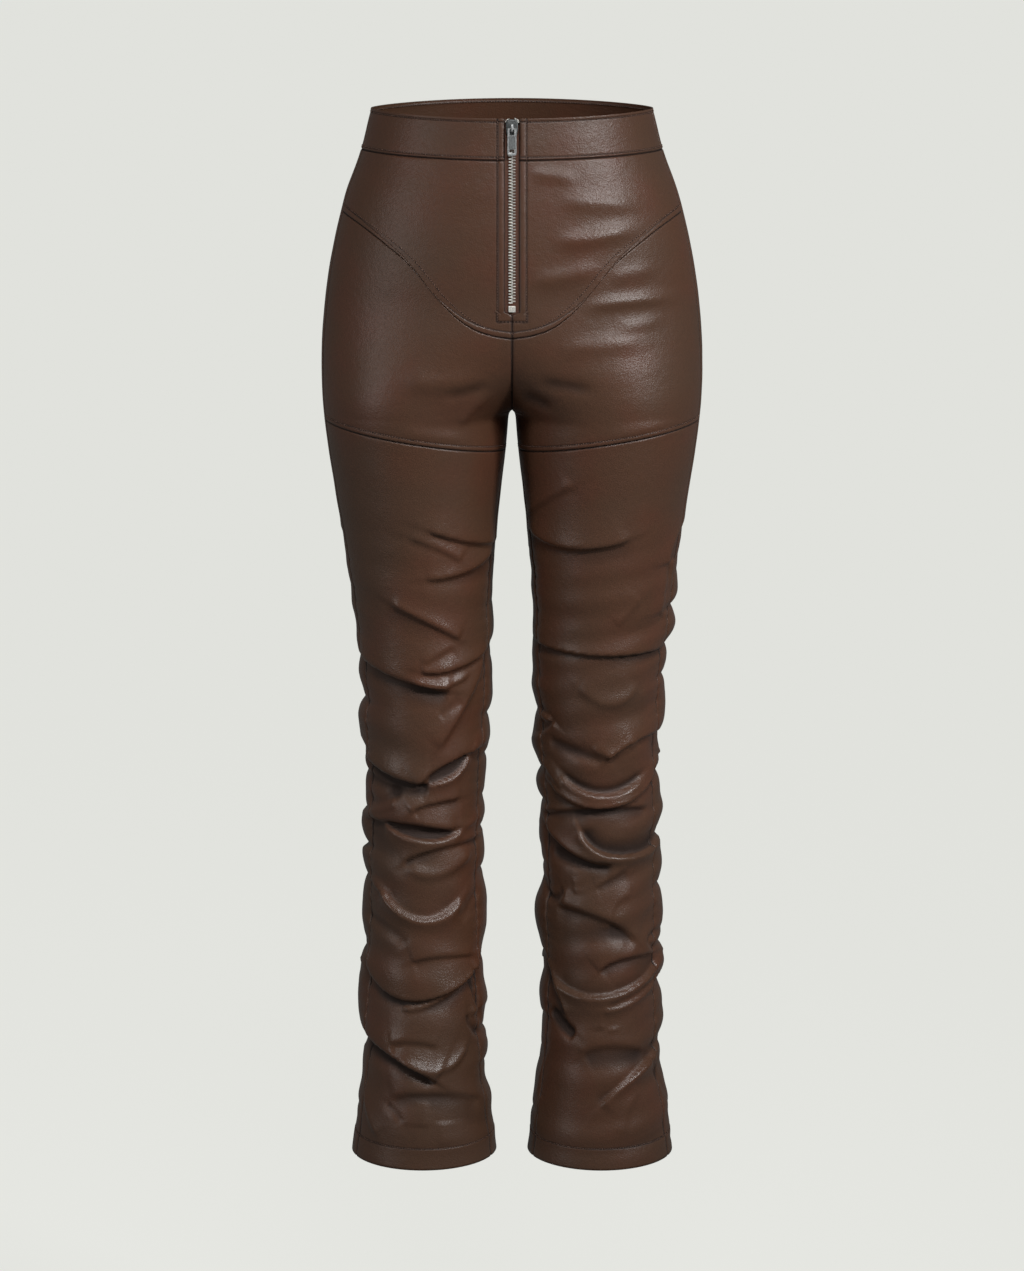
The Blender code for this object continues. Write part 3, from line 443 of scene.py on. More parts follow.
# Between two puckers the cloth bulges at the leg's outline, from one drop to the next, by a height.
Scallop = namedtuple("Scallop", "start end height")
SCALLOPS = {
    ("right", "outer"): (
        Scallop(492, 538, 3.5),
        Scallop(538, 583, 6.0),
        Scallop(583, 607, 3.0),
        Scallop(607, 642, 2.0),
        Scallop(642, 676, 7.5),
        Scallop(676, 705, 4.0),
        Scallop(705, 774, 5.5),
        Scallop(774, 862, 9.5),
        Scallop(862, 925, 2.0),
    ),
    ("right", "inner"): (
        Scallop(448, 487, 3.0),
        Scallop(500, 553, 4.0),
        Scallop(553, 591, 4.0),
        Scallop(591, 630, 3.0),
        Scallop(636, 660, 2.5),
        Scallop(660, 700, 3.5),
        Scallop(700, 780, 6.5),
        Scallop(786, 852, 5.0),
        Scallop(852, 884, 4.5),
    ),
    ("left", "inner"): (
        Scallop(478, 548, 2.5),
        Scallop(552, 603, 5.5),
        Scallop(606, 634, 4.5),
        Scallop(634, 694, 3.0),
        Scallop(708, 780, 8.0),
        Scallop(797, 838, 3.5),
        Scallop(884, 930, 2.0),
    ),
    ("left", "outer"): (
        Scallop(418, 450, 3.5),
        Scallop(450, 485, 5.5),
        Scallop(485, 515, 3.5),
        Scallop(515, 568, 6.5),
        Scallop(588, 606, 3.0),
        Scallop(606, 668, 5.0),
        Scallop(668, 714, 5.5),
        Scallop(714, 770, 7.0),
        Scallop(770, 803, 6.5),
        Scallop(803, 865, 6.0),
        Scallop(865, 960, 2.5),
    ),
}
SCALLOP_POWER = 0.9
SCALLOP_REACH = 24.0
NOTCH_DEPTH = 1.0
NOTCH_WIDTH = 3.5


def scalloped(side, angle, drop):
    """The bulges down each edge of the leg: the sine of the way from notch to notch, to the power 0.9.

    A narrow bell is taken off at each notch, and all of it fades round the leg as a bell.
    """
    lift = np.zeros(angle.shape)
    for edge, turn in (("outer", 0.0), ("inner", math.pi)):
        away = np.arctan2(np.sin(angle - turn), np.cos(angle - turn)) * LEG_GAUGE
        bulge = np.zeros(angle.shape)
        for scallop in SCALLOPS[side, edge]:
            share = np.clip((drop - scallop.start) / (scallop.end - scallop.start), 0, 1)
            bulge += scallop.height * np.maximum(np.sin(np.pi * share), 0) ** SCALLOP_POWER
            bulge -= NOTCH_DEPTH * np.exp(-((drop - scallop.end) / NOTCH_WIDTH) ** 2)
        lift += bulge * np.exp(-(away / SCALLOP_REACH) ** 2)
    return lift


def gathers(side, angle, drop):
    """The gathered seams and the cloth's small ripples.

    Beside a gathered seam the cloth puffs up between puckers as the root of a sine, fading with the
    distance, and the seam itself is pulled in. Elsewhere it is a sum of seeded waves, mostly level.
    """
    gathered = smoothstep((drop - RUCHE_TOP) / RUCHE_EASE) * smoothstep((RUCHE_END - drop) / RUCHE_EASE)
    lift = scalloped(side, angle, drop)
    for turn, which in enumerate(("side", "inner")):
        away = angle - seam_angle(drop, which)
        reach = np.abs(np.arctan2(np.sin(away), np.cos(away))) * LEG_GAUGE
        start = WANDER_START * turn + WANDER_SIDE * SIDES[side]
        phase = 2 * math.pi * drop / PUCKER_PITCH
        phase += WANDER_HEIGHT * np.sin(drop / WANDER_LONG + start) + np.sin(drop / WANDER_SHORT + 2 * start)
        phase += SLANT_HEIGHT * reach * np.sin(drop / SLANT_LONG + 3 * start)
        puff = np.abs(np.sin(phase / 2)) ** PUCKER_POWER - PUCKER_REST
        pull = SEAM_PULL * np.exp(-(reach / SEAM_PULL_REACH) ** 2)
        lift += gathered * (PUCKER_HEIGHT * puff * np.exp(-reach / PUCKER_REACH) - pull)
    dice = np.random.default_rng(RIPPLE_SEED + SIDES[side])
    wave = np.zeros(angle.shape)
    for _ in range(RIPPLES):
        down = dice.uniform(*RIPPLE_LENGTHS)
        slant = dice.uniform(*RIPPLE_SLANTS)
        turns = dice.integers(*RIPPLE_TURNS)
        start = dice.uniform(*RIPPLE_STARTS)
        wave += np.sin(2 * math.pi * drop / down + turns * angle + slant * np.cos(angle) + start)
    wave /= math.sqrt(RIPPLES)
    busy = RIPPLE_LEAST + (1 - RIPPLE_LEAST) * smoothstep((drop - RIPPLE_FROM) / RIPPLE_EASE)
    return lift + RIPPLE_HEIGHT * busy * wave


def draped(side, angle, drop):
    """The left half's outer face in millimetres, its unfolded normal, and the lift of its folds.

    Each point of the unfolded surface moves along its normal by the lift, and down by the sag.
    """
    lift = gathers(side, angle, drop)
    sag = np.zeros(angle.shape)
    front, back = (RIGHT_FOLDS, LEFT_FOLDS) if side == "right" else (LEFT_FOLDS, RIGHT_FOLDS)
    for fold in front:
        fold_lift(fold, -1, angle, drop, lift, sag)
    for fold in back:
        fold_lift(fold, 1, angle, drop, lift, sag)
    for fold in HIP_FOLDS[side]:
        hip_lift(fold, angle, drop, lift)
    flat = smooth_cloth(angle, drop)
    calm = HEM_LIVELY + (1 - HEM_LIVELY) * smoothstep((HEM_DROP - drop) / HEM_CALM)
    calm = calm * smoothstep(flat[..., 0] / CENTRE_CALM)
    normal = outward(angle, drop)
    point = flat + normal * (lift * calm)[..., None]
    point[..., 2] -= sag * calm
    point[..., 0] = np.where(flat[..., 0] < SEAM_MEETS, 0, point[..., 0])
    return point, normal, lift * calm


# The hips' soft pulls, with each place as its share of the half width from the centre line.
HipFold = namedtuple("HipFold", "a0 d0 a1 d1 a2 d2 height width")
HIP_GAIN = 1.6
HIP_REACH = 65
HIP_FADE = 0.35
HIP_FOLDS = {
    "left": (
        HipFold(0.10, 53, 0.24, 54, 0.42, 59, 0.8, 6),
        HipFold(0.24, 76, 0.50, 79, 0.84, 82, 1.0, 8),
        HipFold(0.20, 112, 0.45, 109, 0.80, 99, 1.6, 8),
        HipFold(0.06, 146, 0.28, 142, 0.52, 132, 1.2, 8),
        HipFold(0.50, 144, 0.64, 141, 0.82, 136, 0.8, 7),
        HipFold(0.34, 170, 0.60, 165, 0.94, 164, 1.6, 6),
        HipFold(0.52, 189, 0.66, 186, 0.82, 182, 0.8, 6),
        HipFold(0.22, 208, 0.45, 203, 0.78, 200, 1.0, 8),
        HipFold(0.10, 236, 0.27, 239, 0.46, 244, -1.2, 6),
        HipFold(0.04, 249, 0.13, 254, 0.23, 265, -1.2, 6),
        HipFold(0.45, 287, 0.66, 279, 0.89, 276, 0.8, 6),
    ),
    "right": (
        HipFold(0.58, 231, 0.37, 237, 0.10, 229, 1.2, 9),
        HipFold(0.27, 279, 0.22, 262, 0.08, 243, 1.0, 5),
        HipFold(0.37, 250, 0.24, 245, 0.10, 237, -1.0, 5),
        HipFold(0.62, 278, 0.41, 284, 0.19, 289, 0.8, 6),
    ),
}


def hip_lift(fold, angle, drop, lift):
    """Adds a soft pull across the hip: a bell across its line, which fades at both ends."""
    places = np.array([[fold.a0, fold.d0], [fold.a1, fold.d1], [fold.a2, fold.d2]], float)
    places[:, 0] = places[:, 0] * through(LEVELS, "outer", places[:, 1])
    across = smooth_cloth(angle, drop)[..., 0]
    near = (np.sin(angle) < 0) & (np.abs(drop - fold.d1) < HIP_REACH)
    if not near.any():
        return
    gap, along, _, _ = nearest_on(bent_line(places), np.stack([across[near], drop[near]], axis=-1))
    fade = smoothstep(along / HIP_FADE) * smoothstep((1 - along) / HIP_FADE)
    lift[near] += HIP_GAIN * fold.height * np.exp(-(gap / fold.width) ** 2) * fade


class Shade:
    """A shader socket that Python's operators work on: each one adds a Math node to its finish."""

    def __init__(self, finish, socket):
        self.finish = finish
        self.socket = socket

    def _math(self, operation, first, second):
        return self.finish.node("ShaderNodeMath", {"operation": operation}, {0: first, 1: second})

    def __add__(self, other):
        return self._math("ADD", self, other)

    __radd__ = __add__

    def __sub__(self, other):
        return self._math("SUBTRACT", self, other)

    def __rsub__(self, other):
        return self._math("SUBTRACT", other, self)

    def __mul__(self, other):
        return self._math("MULTIPLY", self, other)

    __rmul__ = __mul__


class Finish:
    """A material's nodes. node() makes one from its type, its settings, and its sockets' values or links."""

    def __init__(self, name):
        self.material = bpy.data.materials.new(name)
        self.material.use_nodes = True
        self.tree = self.material.node_tree
        self.shader = self.tree.nodes["Principled BSDF"]

    def node(self, kind, settings=None, sockets=None, out=0):
        new = self.tree.nodes.new(kind)
        for key, value in (settings or {}).items():
            setattr(new, key, value)
        self.fill(new, sockets or {})
        return Shade(self, new.outputs[out])

    def fill(self, node, sockets):
        for key, value in sockets.items():
            if isinstance(value, Shade):
                self.tree.links.new(value.socket, node.inputs[key])
            else:
                node.inputs[key].default_value = value

    def surface(self, **sockets):
        self.fill(self.shader, {key.replace("_", " "): value for key, value in sockets.items()})

    def place(self):
        return self.node("ShaderNodeTexCoord", out="Object")

    def noise(self, scale, detail=2.0, roughness=0.5, vector=None):
        sockets = {"Vector": vector or self.place(), "Scale": scale, "Detail": detail, "Roughness": roughness}
        return self.node("ShaderNodeTexNoise", {}, sockets)

    def between(self, low, high, value):
        """0 below low, 1 above high, and an even slope between."""
        settings = {"clamp": True}
        return self.node("ShaderNodeMapRange", settings, {0: value, 1: low, 2: high, 3: 0.0, 4: 1.0})

    def blend(self, share, first, second):
        settings = {"data_type": "RGBA", "clamp_factor": True}
        return self.node("ShaderNodeMix", settings, {0: share, 6: first, 7: second}, out=2)


LEATHER_BROWN = (0.084, 0.037, 0.020, 1)
LEATHER_RED = (0.090, 0.036, 0.020, 1)
LEATHER_GREY = (0.074, 0.038, 0.022, 1)
# Near black, for the leather's random dark specks and for the painted shade in tucks, seam rolls and thread
# grooves.
LEATHER_SPECK_AND_CREASE_SHADE = (0.018, 0.008, 0.005, 1)
CLOUD_SCALE = 26.0
PATCH_SCALE = 9.0
SPECK_SCALE = 420.0
PORE_SCALE = 900.0
DENT_SCALE = 170.0
GRAIN_SIZE = 0.0013
GRAIN_BUMP = 0.0004
LEATHER_SPECULAR = 0.42
# The lift, in millimetres, at which painted shade begins in a tuck, at which the tuck begins to lose its
# sheen, and at which it is deepest.
CREASE_SHADE_BEGINS = -0.5
TUCK_DULLS = -1.2
TUCK_DEEPEST = -3.2
# The lift at which a crest begins to gain sheen, and at which it has all of it.
CREST_SHINES = 0.8
CREST_BRIGHTEST = 3.4


def coated_leather():
    """Semi-gloss dark brown coating, pressed with a fine pebble grain, redder and greyer in soft clouds, with
    painted shade where its lift is low.
    """
    finish = Finish("faux_leather")
    clouds = finish.noise(CLOUD_SCALE, 3.0)
    patches = finish.noise(PATCH_SCALE, 2.0)
    specks = finish.noise(SPECK_SCALE, 3.0, 0.6)
    grain = {"Vector": finish.place(), "Scale": 1 / GRAIN_SIZE}
    pebbles = finish.node("ShaderNodeTexVoronoi", {"feature": "F1"}, grain)
    lift = finish.node("ShaderNodeAttribute", {"attribute_name": "lift"}, out="Fac")
    colour = finish.blend(finish.between(0.42, 0.62, clouds), LEATHER_BROWN, LEATHER_RED)
    colour = finish.blend(finish.between(0.45, 0.62, patches) * 0.8, colour, LEATHER_GREY)
    colour = finish.blend(finish.between(0.35, 0.75, specks) * 0.18, colour, LEATHER_SPECK_AND_CREASE_SHADE)
    # Painted shade: where the lift is low, in tucks and along seam rolls and thread grooves, the colour
    # darkens towards near black.
    colour = finish.blend(finish.between(CREASE_SHADE_BEGINS, TUCK_DEEPEST, lift) * 0.9, colour, LEATHER_SPECK_AND_CREASE_SHADE)
    gloss = 0.36 + 0.10 * specks - 0.06 * clouds + 0.05 * finish.between(0.2, 0.7, patches)
    gloss = gloss - 0.09 * finish.between(CREST_SHINES, CREST_BRIGHTEST, lift)
    gloss = gloss + 0.35 * finish.between(TUCK_DULLS, TUCK_DEEPEST, lift)
    height = 0.5 * pebbles + 0.6 * finish.noise(PORE_SCALE, 2.0) + 1.4 * finish.noise(DENT_SCALE, 3.0)
    bump = finish.node("ShaderNodeBump", {}, {"Strength": 0.55, "Distance": GRAIN_BUMP, "Height": height})
    finish.surface(Base_Color=colour, Roughness=gloss, Normal=bump)
    finish.shader.inputs["Specular IOR Level"].default_value = LEATHER_SPECULAR
    return finish.material


leather = coated_leather()


def mesh_piece(name, points, faces, materials, body="trousers", smooth=True):
    """Makes a shown piece from an array of points in millimetres and a list of faces, on its body."""
    mesh = bpy.data.meshes.new(name)
    mesh.from_pydata((points.reshape(-1, 3) * MM).tolist(), [], faces)
    for material in materials:
        mesh.materials.append(material)
    if smooth:
        mesh.shade_smooth()
    piece = bpy.data.objects.new(name, mesh)
    bpy.context.collection.objects.link(piece)
    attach(piece, body)
    return piece


def inside_out(points, quads):
    """Whether quads face inwards: the sum of the volumes between them and the origin is negative."""
    a, b, c, d = (points[quads[:, k]] for k in range(4))
    return (a * np.cross(b, c) + a * np.cross(c, d)).sum() < 0


SEAM_ROLL = 1.0
SEAM_ROLL_WIDTH = 0.9
LAP_LIFT = 0.5
LAP_BEYOND = 1.6
LAP_FALL = 2.4
DIMPLE = 0.55
DIMPLE_WIDTH = 0.8
# How much painted shade a seam's roll and a thread's groove take off the lift, and so darken the leather.
SEAM_SHADE = 4.2
STITCH_SHADE = 0.8


def from_edge(points, edge):
    """The distance of each grid point from one edge of its panel, summed along the rows or columns."""
    axis = 0 if edge in ("top", "bottom") else 1
    steps = np.linalg.norm(np.diff(points, axis=axis), axis=-1)
    pad = [(1, 0), (0, 0)] if axis == 0 else [(0, 0), (1, 0)]
    total = np.cumsum(np.pad(steps, pad), axis=axis)
    if edge in ("bottom", "side"):
        total = (total[-1:] if axis == 0 else total[:, -1:]) - total
    return total


BOX_SIDE = 12.8
BOX_END = 181.0
ZIP_OPENING = 6.2
ZIP_END = 173.0
PLACKET_RIDGE = 0.7
PLACKET_EDGE = 1.2
PLACKET_END = 4


def placket(across, drop):
    """The height round the zip's box of stitches, and the painted shade along its thread's groove.

    Inside the box the cloth stands half a millimetre up, its edge beside the zip swells as a half sine,
    and the thread draws a groove along the box's side and foot.
    """
    beyond = PLACKET_EDGE / 2
    inside = smoothstep((BOX_SIDE + beyond - across) / PLACKET_EDGE)
    inside = inside * smoothstep((BOX_END + beyond - drop) / PLACKET_EDGE)
    swell = np.sin(np.pi * np.clip((across - ZIP_OPENING) / (BOX_SIDE - ZIP_OPENING), 0, 1))
    swell = swell * smoothstep((ZIP_END - drop) / PLACKET_END)
    side_groove = np.exp(-((across - BOX_SIDE) / DIMPLE_WIDTH) ** 2) * smoothstep((BOX_END - drop) + 1)
    foot_groove = np.exp(-((drop - BOX_END) / DIMPLE_WIDTH) ** 2) * smoothstep((BOX_SIDE - across) + 1)
    groove = np.maximum(side_groove, foot_groove)
    return LAP_LIFT * inside + PLACKET_RIDGE * swell - DIMPLE * groove, groove


def skins_of(side, angle, drop, seams=(), stitched=(), beside_zip=False):
    """A panel's outer and inner faces over its grid of places, and the lift of its folds, lowered by painted
    shade at seams and grooves.

    At a seam the edge rolls in, as a narrow bell. A stitched edge has the seam's allowance under it, which
    lifts it by half a millimetre to just past its thread, and the thread draws a slight groove.
    """
    points, normal, lift = draped(side, angle, drop)
    raised = np.zeros(angle.shape)
    shade = np.zeros(angle.shape)
    for edge in seams:
        roll = np.exp(-(from_edge(points, edge) / SEAM_ROLL_WIDTH) ** 2)
        raised -= SEAM_ROLL * roll
        shade += roll
    for edge, width in stitched:
        away = from_edge(points, edge)
        groove = np.exp(-((away - width) / DIMPLE_WIDTH) ** 2)
        raised += LAP_LIFT * smoothstep((width + LAP_BEYOND - away) / LAP_FALL) - DIMPLE * groove
        shade += STITCH_SHADE * groove
    if beside_zip:
        height, groove = placket(points[..., 0], drop)
        raised += height
        shade += groove
    # Seam rolls and thread grooves also take painted shade: it is taken off the lift, which the leather
    # darkens by.
    lift = lift - SEAM_SHADE * shade
    outer = points + normal * raised[..., None]
    skins = np.stack([outer, outer - normal * LEATHER])
    at_centre = smooth_cloth(angle, drop)[..., 0] < SEAM_MEETS
    skins[..., 0] = np.where(at_centre, 0, np.maximum(skins[..., 0], 0)) * SIDES[side]
    return skins, lift


def closed_wall(name, skins, lift):
    """Joins two skins of one grid round their rim, turned so that the volume inside is positive."""
    rows, columns = skins.shape[1:3]
    index = np.arange(rows * columns).reshape(rows, columns)
    quads = np.stack([index[:-1, :-1], index[1:, :-1], index[1:, 1:], index[:-1, 1:]], axis=-1)
    quads = quads.reshape(-1, 4)
    rim = np.concatenate([index[0, :-1], index[:-1, -1], index[-1, :0:-1], index[:0:-1, 0]])
    far = rows * columns
    edge = np.stack([rim, np.roll(rim, -1), np.roll(rim, -1) + far, rim + far], axis=-1)
    faces = np.concatenate([quads, quads[:, ::-1] + far, edge])
    if inside_out(skins.reshape(-1, 3), faces):
        faces = faces[:, ::-1]
    piece = mesh_piece(name, skins, faces.tolist(), [leather])
    # The lift goes on the points for the leather's finish, which paints shade where it is low.
    folds = piece.data.attributes.new("lift", "FLOAT", "POINT")
    folds.data.foreach_set("value", np.tile(lift.reshape(-1), 2).astype(np.float32))
    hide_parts(name.replace("_panel", ""))
    return piece


def leather_panel(name, side, angle, drop, **edges):
    """A panel of one half of the trousers, from the angle and the drop at each place of its grid."""
    return closed_wall(name, *skins_of(side, angle, drop, **edges))


FINE = np.arange(0.45, 2.5, 0.45)
CLEAR_OF_FINE = 0.35
EDGE_SAMPLES = 1200


def finer(count, length, near_top=(), near_bottom=()):
    """Even shares from 0 to 1, with more of them at the given distances from either end."""
    extra = np.concatenate([np.asarray(near_top) / length, 1 - np.asarray(near_bottom) / length])
    even = np.linspace(0, 1, count)
    if len(extra):
        clear = np.abs(even[:, None] - extra[None]).min(axis=1) > CLEAR_OF_FINE / length
        clear[[0, -1]] = True
        even = even[clear]
    return np.sort(np.concatenate([even, extra]))


def even_drops(edge, start, end, step):
    """Drops spaced evenly along an edge that is given as an angle for each drop."""
    fine = np.linspace(start, end, EDGE_SAMPLES)
    points = smooth_cloth(edge(fine), fine)
    length = np.concatenate([[0], np.cumsum(np.linalg.norm(np.diff(points, axis=0), axis=1))])
    return np.interp(np.linspace(0, length[-1], int(length[-1] / step)), length, fine)


def edge_turn(drop, distance, curve):
    """The turn at which the oval meets a plane beside the centre line, above the crotch."""
    outer = through(LEVELS, "outer", drop)
    split = leg_split(drop, curve)
    middle = outer * split * (1 - split / 2)
    half = np.where(distance < middle, outer * (1 - split / 2), outer - middle)
    return np.arccos(np.clip((distance - middle) / half, -1, 1))


def back_inner_edge(drop):
    """The back's inner edge: the centre seam down to the crotch, then the inseam."""
    above = edge_turn(drop, 0.0, BACK_RISE_CURVE)
    return np.where(drop < CROTCH_DROP, above, seam_angle(drop, "inner") + 2 * math.pi)


def waist_top(angle):
    """The band's top edge dips in front and rises behind, as the square of the sine."""
    across = np.sin(angle)
    return np.where(across < 0, WAIST_DIP_FRONT, -WAIST_RISE_BACK) * across ** 2


def thigh_seam(share):
    """The thigh seam's drop, by the share of the way from the inner edge to the side seam.

    It climbs as the middle stretch of a smooth step, so it still slopes at both ends.
    """
    step = smoothstep(share * THIGH_SEAM_STRETCH + (1 - THIGH_SEAM_STRETCH) / 2)
    return THIGH_SEAM_INNER + (THIGH_SEAM_SIDE - THIGH_SEAM_INNER) * step


ROW_STEP = 2.3
BACK_COLUMNS = 104
HEM_STITCH = 20.0
HEM_FINE = np.arange(-1.5, 2.2, 0.6)

for side in SIDES:
    columns = np.linspace(0, 1, BACK_COLUMNS)
    even = even_drops(back_inner_edge, BAND_WIDTH - WAIST_RISE_BACK, HEM_DROP, ROW_STEP)
    rows = finer(len(even), HEM_DROP, FINE, HEM_STITCH + HEM_FINE)
    inner = np.interp(rows, np.linspace(0, 1, len(even)), even)
    outer_edge = BAND_WIDTH + (HEM_DROP - BAND_WIDTH) * rows
    drop = inner[:, None] + (outer_edge - inner)[:, None] * smoothstep(columns)
    angle = back_inner_edge(drop[:, 0])[:, None] * (1 - columns) + seam_angle(drop, "side") * columns
    drop[0] = waist_top(angle[0]) + BAND_WIDTH
    back = leather_panel(f"back_{side}_panel", side, angle, drop, seams=("top", "inner", "side"),
                         stitched=(("bottom", HEM_STITCH),))


# ---------------------------------------------------------------- the front legs
# Each front leg is cut from the thigh seam down and flares a little at the hem, which is turned up 20 mm
# and topstitched. Its two long edges are gathered into the side seam and the inseam.

FRONT_COLUMNS = 100


def front_inner_edge(drop):
    """The front's inner edge: the centre seam down to the crotch, then the inseam."""
    above = -edge_turn(drop, 0.0, FRONT_RISE_CURVE)
    return np.where(drop < CROTCH_DROP, above, seam_angle(drop, "inner"))


for side in SIDES:
    columns = np.linspace(0, 1, FRONT_COLUMNS)
    length = HEM_DROP - THIGH_SEAM_SIDE
    rows = finer(int(length / ROW_STEP), length, FINE, HEM_STITCH + HEM_FINE)[:, None]
    drop = thigh_seam(columns) * (1 - rows) + HEM_DROP * rows
    angle = front_inner_edge(drop[:, 0])[:, None] * (1 - columns) + seam_angle(drop, "side") * columns
    leg = leather_panel(f"front_leg_{side}_panel", side, angle, drop, seams=("top", "inner", "side"),
                        stitched=(("bottom", HEM_STITCH),))


# ---------------------------------------------------------------- the front hips
# Between the yoke and the thigh seam each hip is a smooth, close-fitting piece. The two are sewn together
# down the centre to the crotch, and their lower edge is lapped over the leg and topstitched.

STITCH_IN = 4.5
LAP_FINE = np.arange(0.45, 6.6, 0.5)
CROTCH_AT_SIDE = 264.0
ALL_EDGES = ("top", "inner", "side", "bottom")

YokePoint = namedtuple("YokePoint", "across drop")
YOKE_SEAM = (
    YokePoint(0, 196.5),
    YokePoint(18, 193.5),
    YokePoint(36, 187),
    YokePoint(54, 174),
    YokePoint(68, 159),
    YokePoint(80, 144),
    YokePoint(92, 131),
    YokePoint(109, 117.5),
    YokePoint(133, 101),
    YokePoint(155, 89),
)
YOKE_SIDE_DROP = 90.0
YOKE_GUESS = 150.0
YOKE_ROUNDS = 30


def yoke_seam(angle):
    """The drop at which the yoke's curved seam crosses each angle.

    Each round goes half of the way to the drop that the seam's table gives for the place reached.
    """
    drop = np.full(np.shape(angle), YOKE_GUESS)
    for _ in range(YOKE_ROUNDS):
        drop = 0.5 * drop + 0.5 * through(YOKE_SEAM, "drop", smooth_cloth(angle, drop)[..., 0])
    return drop


def yoke_turns(columns):
    """Turns along the curved seam: even steps from the centre front to the side seam."""
    start = float(front_inner_edge(np.array(YOKE_SEAM[0].drop)))
    side_turn = float(seam_angle(YOKE_SIDE_DROP, "side"))
    return start + (side_turn - start) * columns


for side in SIDES:
    columns = np.linspace(0, 1, FRONT_COLUMNS)
    top = yoke_seam(yoke_turns(columns))
    end = thigh_seam(columns)
    even = even_drops(front_inner_edge, top[0], end[0], ROW_STEP)
    rows = finer(len(even), ROW_STEP * len(even), FINE, LAP_FINE)
    inner = np.interp(rows, np.linspace(0, 1, len(even)), even)
    at_crotch = np.interp(CROTCH_DROP, inner, rows)
    outer_edge = np.interp(rows, [0, at_crotch, 1], [top[-1], CROTCH_AT_SIDE, end[-1]])
    inner_share = (inner - top[0]) / (end[0] - top[0])
    side_share = (outer_edge - top[-1]) / (end[-1] - top[-1])
    share = inner_share[:, None] + (side_share - inner_share)[:, None] * smoothstep(columns)
    drop = top + (end - top) * share
    angle = front_inner_edge(drop[:, 0])[:, None] * (1 - columns) + seam_angle(drop, "side") * columns
    angle[0] = yoke_turns(columns)
    hip = leather_panel(f"front_hip_{side}_panel", side, angle, drop, seams=ALL_EDGES,
                        stitched=(("bottom", STITCH_IN),))


# ---------------------------------------------------------------- the front yoke
# The yoke's halves lie either side of the zip, from the band to a curved seam that dips to the centre.
# Their edges are turned in beside the teeth and stitched, and the curved seam is topstitched above.

YOKE_LAP = 6.0
ZIP_TURN = 1.5
BESIDE_ZIP = np.concatenate([np.arange(0.5, 6.0, 0.8), np.arange(6.0, 8.5, 0.5)])
BOX_FINE = np.arange(-1.2, 1.3, 0.6)
YOKE_LENGTH = 150
YOKE_ROW_STEP = 1.9
YOKE_TOP_AT = 40.0
OPENING_POWER = 12


def opening_edge(drop):
    """The turn of the edge beside the zip: 6.2 mm out as far as its end, and then the centre seam."""
    distance = ZIP_OPENING * smoothstep((ZIP_END + ZIP_TURN - drop) / ZIP_TURN)
    return -edge_turn(drop, distance, FRONT_RISE_CURVE)


yoke_columns = finer(FRONT_COLUMNS, YOKE_LENGTH, BESIDE_ZIP)
for side in SIDES:
    columns = yoke_columns
    side_turn = float(seam_angle(BAND_WIDTH, "side"))
    top_turns = float(opening_edge(np.array(YOKE_TOP_AT))) * (1 - columns) + side_turn * columns
    top = waist_top(top_turns) + BAND_WIDTH
    end = yoke_seam(yoke_turns(columns))
    length = end[0] - top[0]
    near_end = np.concatenate([LAP_FINE * YOKE_LAP / STITCH_IN, end[0] - BOX_END + BOX_FINE])
    rows = finer(int(length / YOKE_ROW_STEP), length, FINE, near_end)[:, None]
    drop = top * (1 - rows) + end * rows
    calm = front_inner_edge(drop[:, 0])[:, None]
    edge = opening_edge(drop[:, 0])[:, None]
    angle = calm * (1 - columns) + seam_angle(drop, "side") * columns
    angle = angle + (edge - calm) * (1 - columns) ** OPENING_POWER
    angle[-1] = yoke_turns(columns)
    yoke = leather_panel(f"front_yoke_{side}_panel", side, angle, drop, seams=ALL_EDGES,
                         stitched=(("bottom", YOKE_LAP),), beside_zip=True)


# ---------------------------------------------------------------- the waistband
# A band 36 mm wide, doubled and topstitched along both edges. The back is one length, from side seam to
# side seam, and each front ends at the zip.

BAND_ROWS = 20
BAND_STITCH = 2.9
BAND_AT = 20.0
BAND_STITCHED = (("bottom", BAND_STITCH), ("top", BAND_STITCH))
BAND_OPENING_POWER = 3

band_start = float(opening_edge(np.array(BAND_AT)))
band_end = float(seam_angle(BAND_AT, "side"))
band_fine = LAP_FINE[LAP_FINE < BAND_STITCH + LAP_BEYOND]
rows = finer(BAND_ROWS, BAND_WIDTH, band_fine, band_fine)[:, None]
for side in SIDES:
    columns = yoke_columns
    angle = band_start * (1 - columns) + band_end * columns + 0 * rows
    drop = waist_top(angle) + BAND_WIDTH * rows
    opening = opening_edge(drop[:, 0])[:, None] - band_start
    angle = angle + opening * (1 - columns) ** BAND_OPENING_POWER
    band = leather_panel(f"waistband_front_{side}_panel", side, angle, drop,
                         seams=("inner", "side", "bottom"), stitched=BAND_STITCHED, beside_zip=True)

columns = np.linspace(0, 1, FRONT_COLUMNS)
angle = band_end * (1 - columns) + math.pi / 2 * columns + 0 * rows
drop = waist_top(angle) + BAND_WIDTH * rows
halves = [skins_of(side, angle, drop, ("bottom",), BAND_STITCHED) for side in SIDES]
skins = np.concatenate([halves[1][0], halves[0][0][:, :, -2::-1]], axis=2)
skins[:, :, len(columns) - 1, 0] = 0
lift = np.concatenate([halves[1][1], halves[0][1][:, -2::-1]], axis=1)
band = closed_wall("waistband_back_panel", skins, lift)
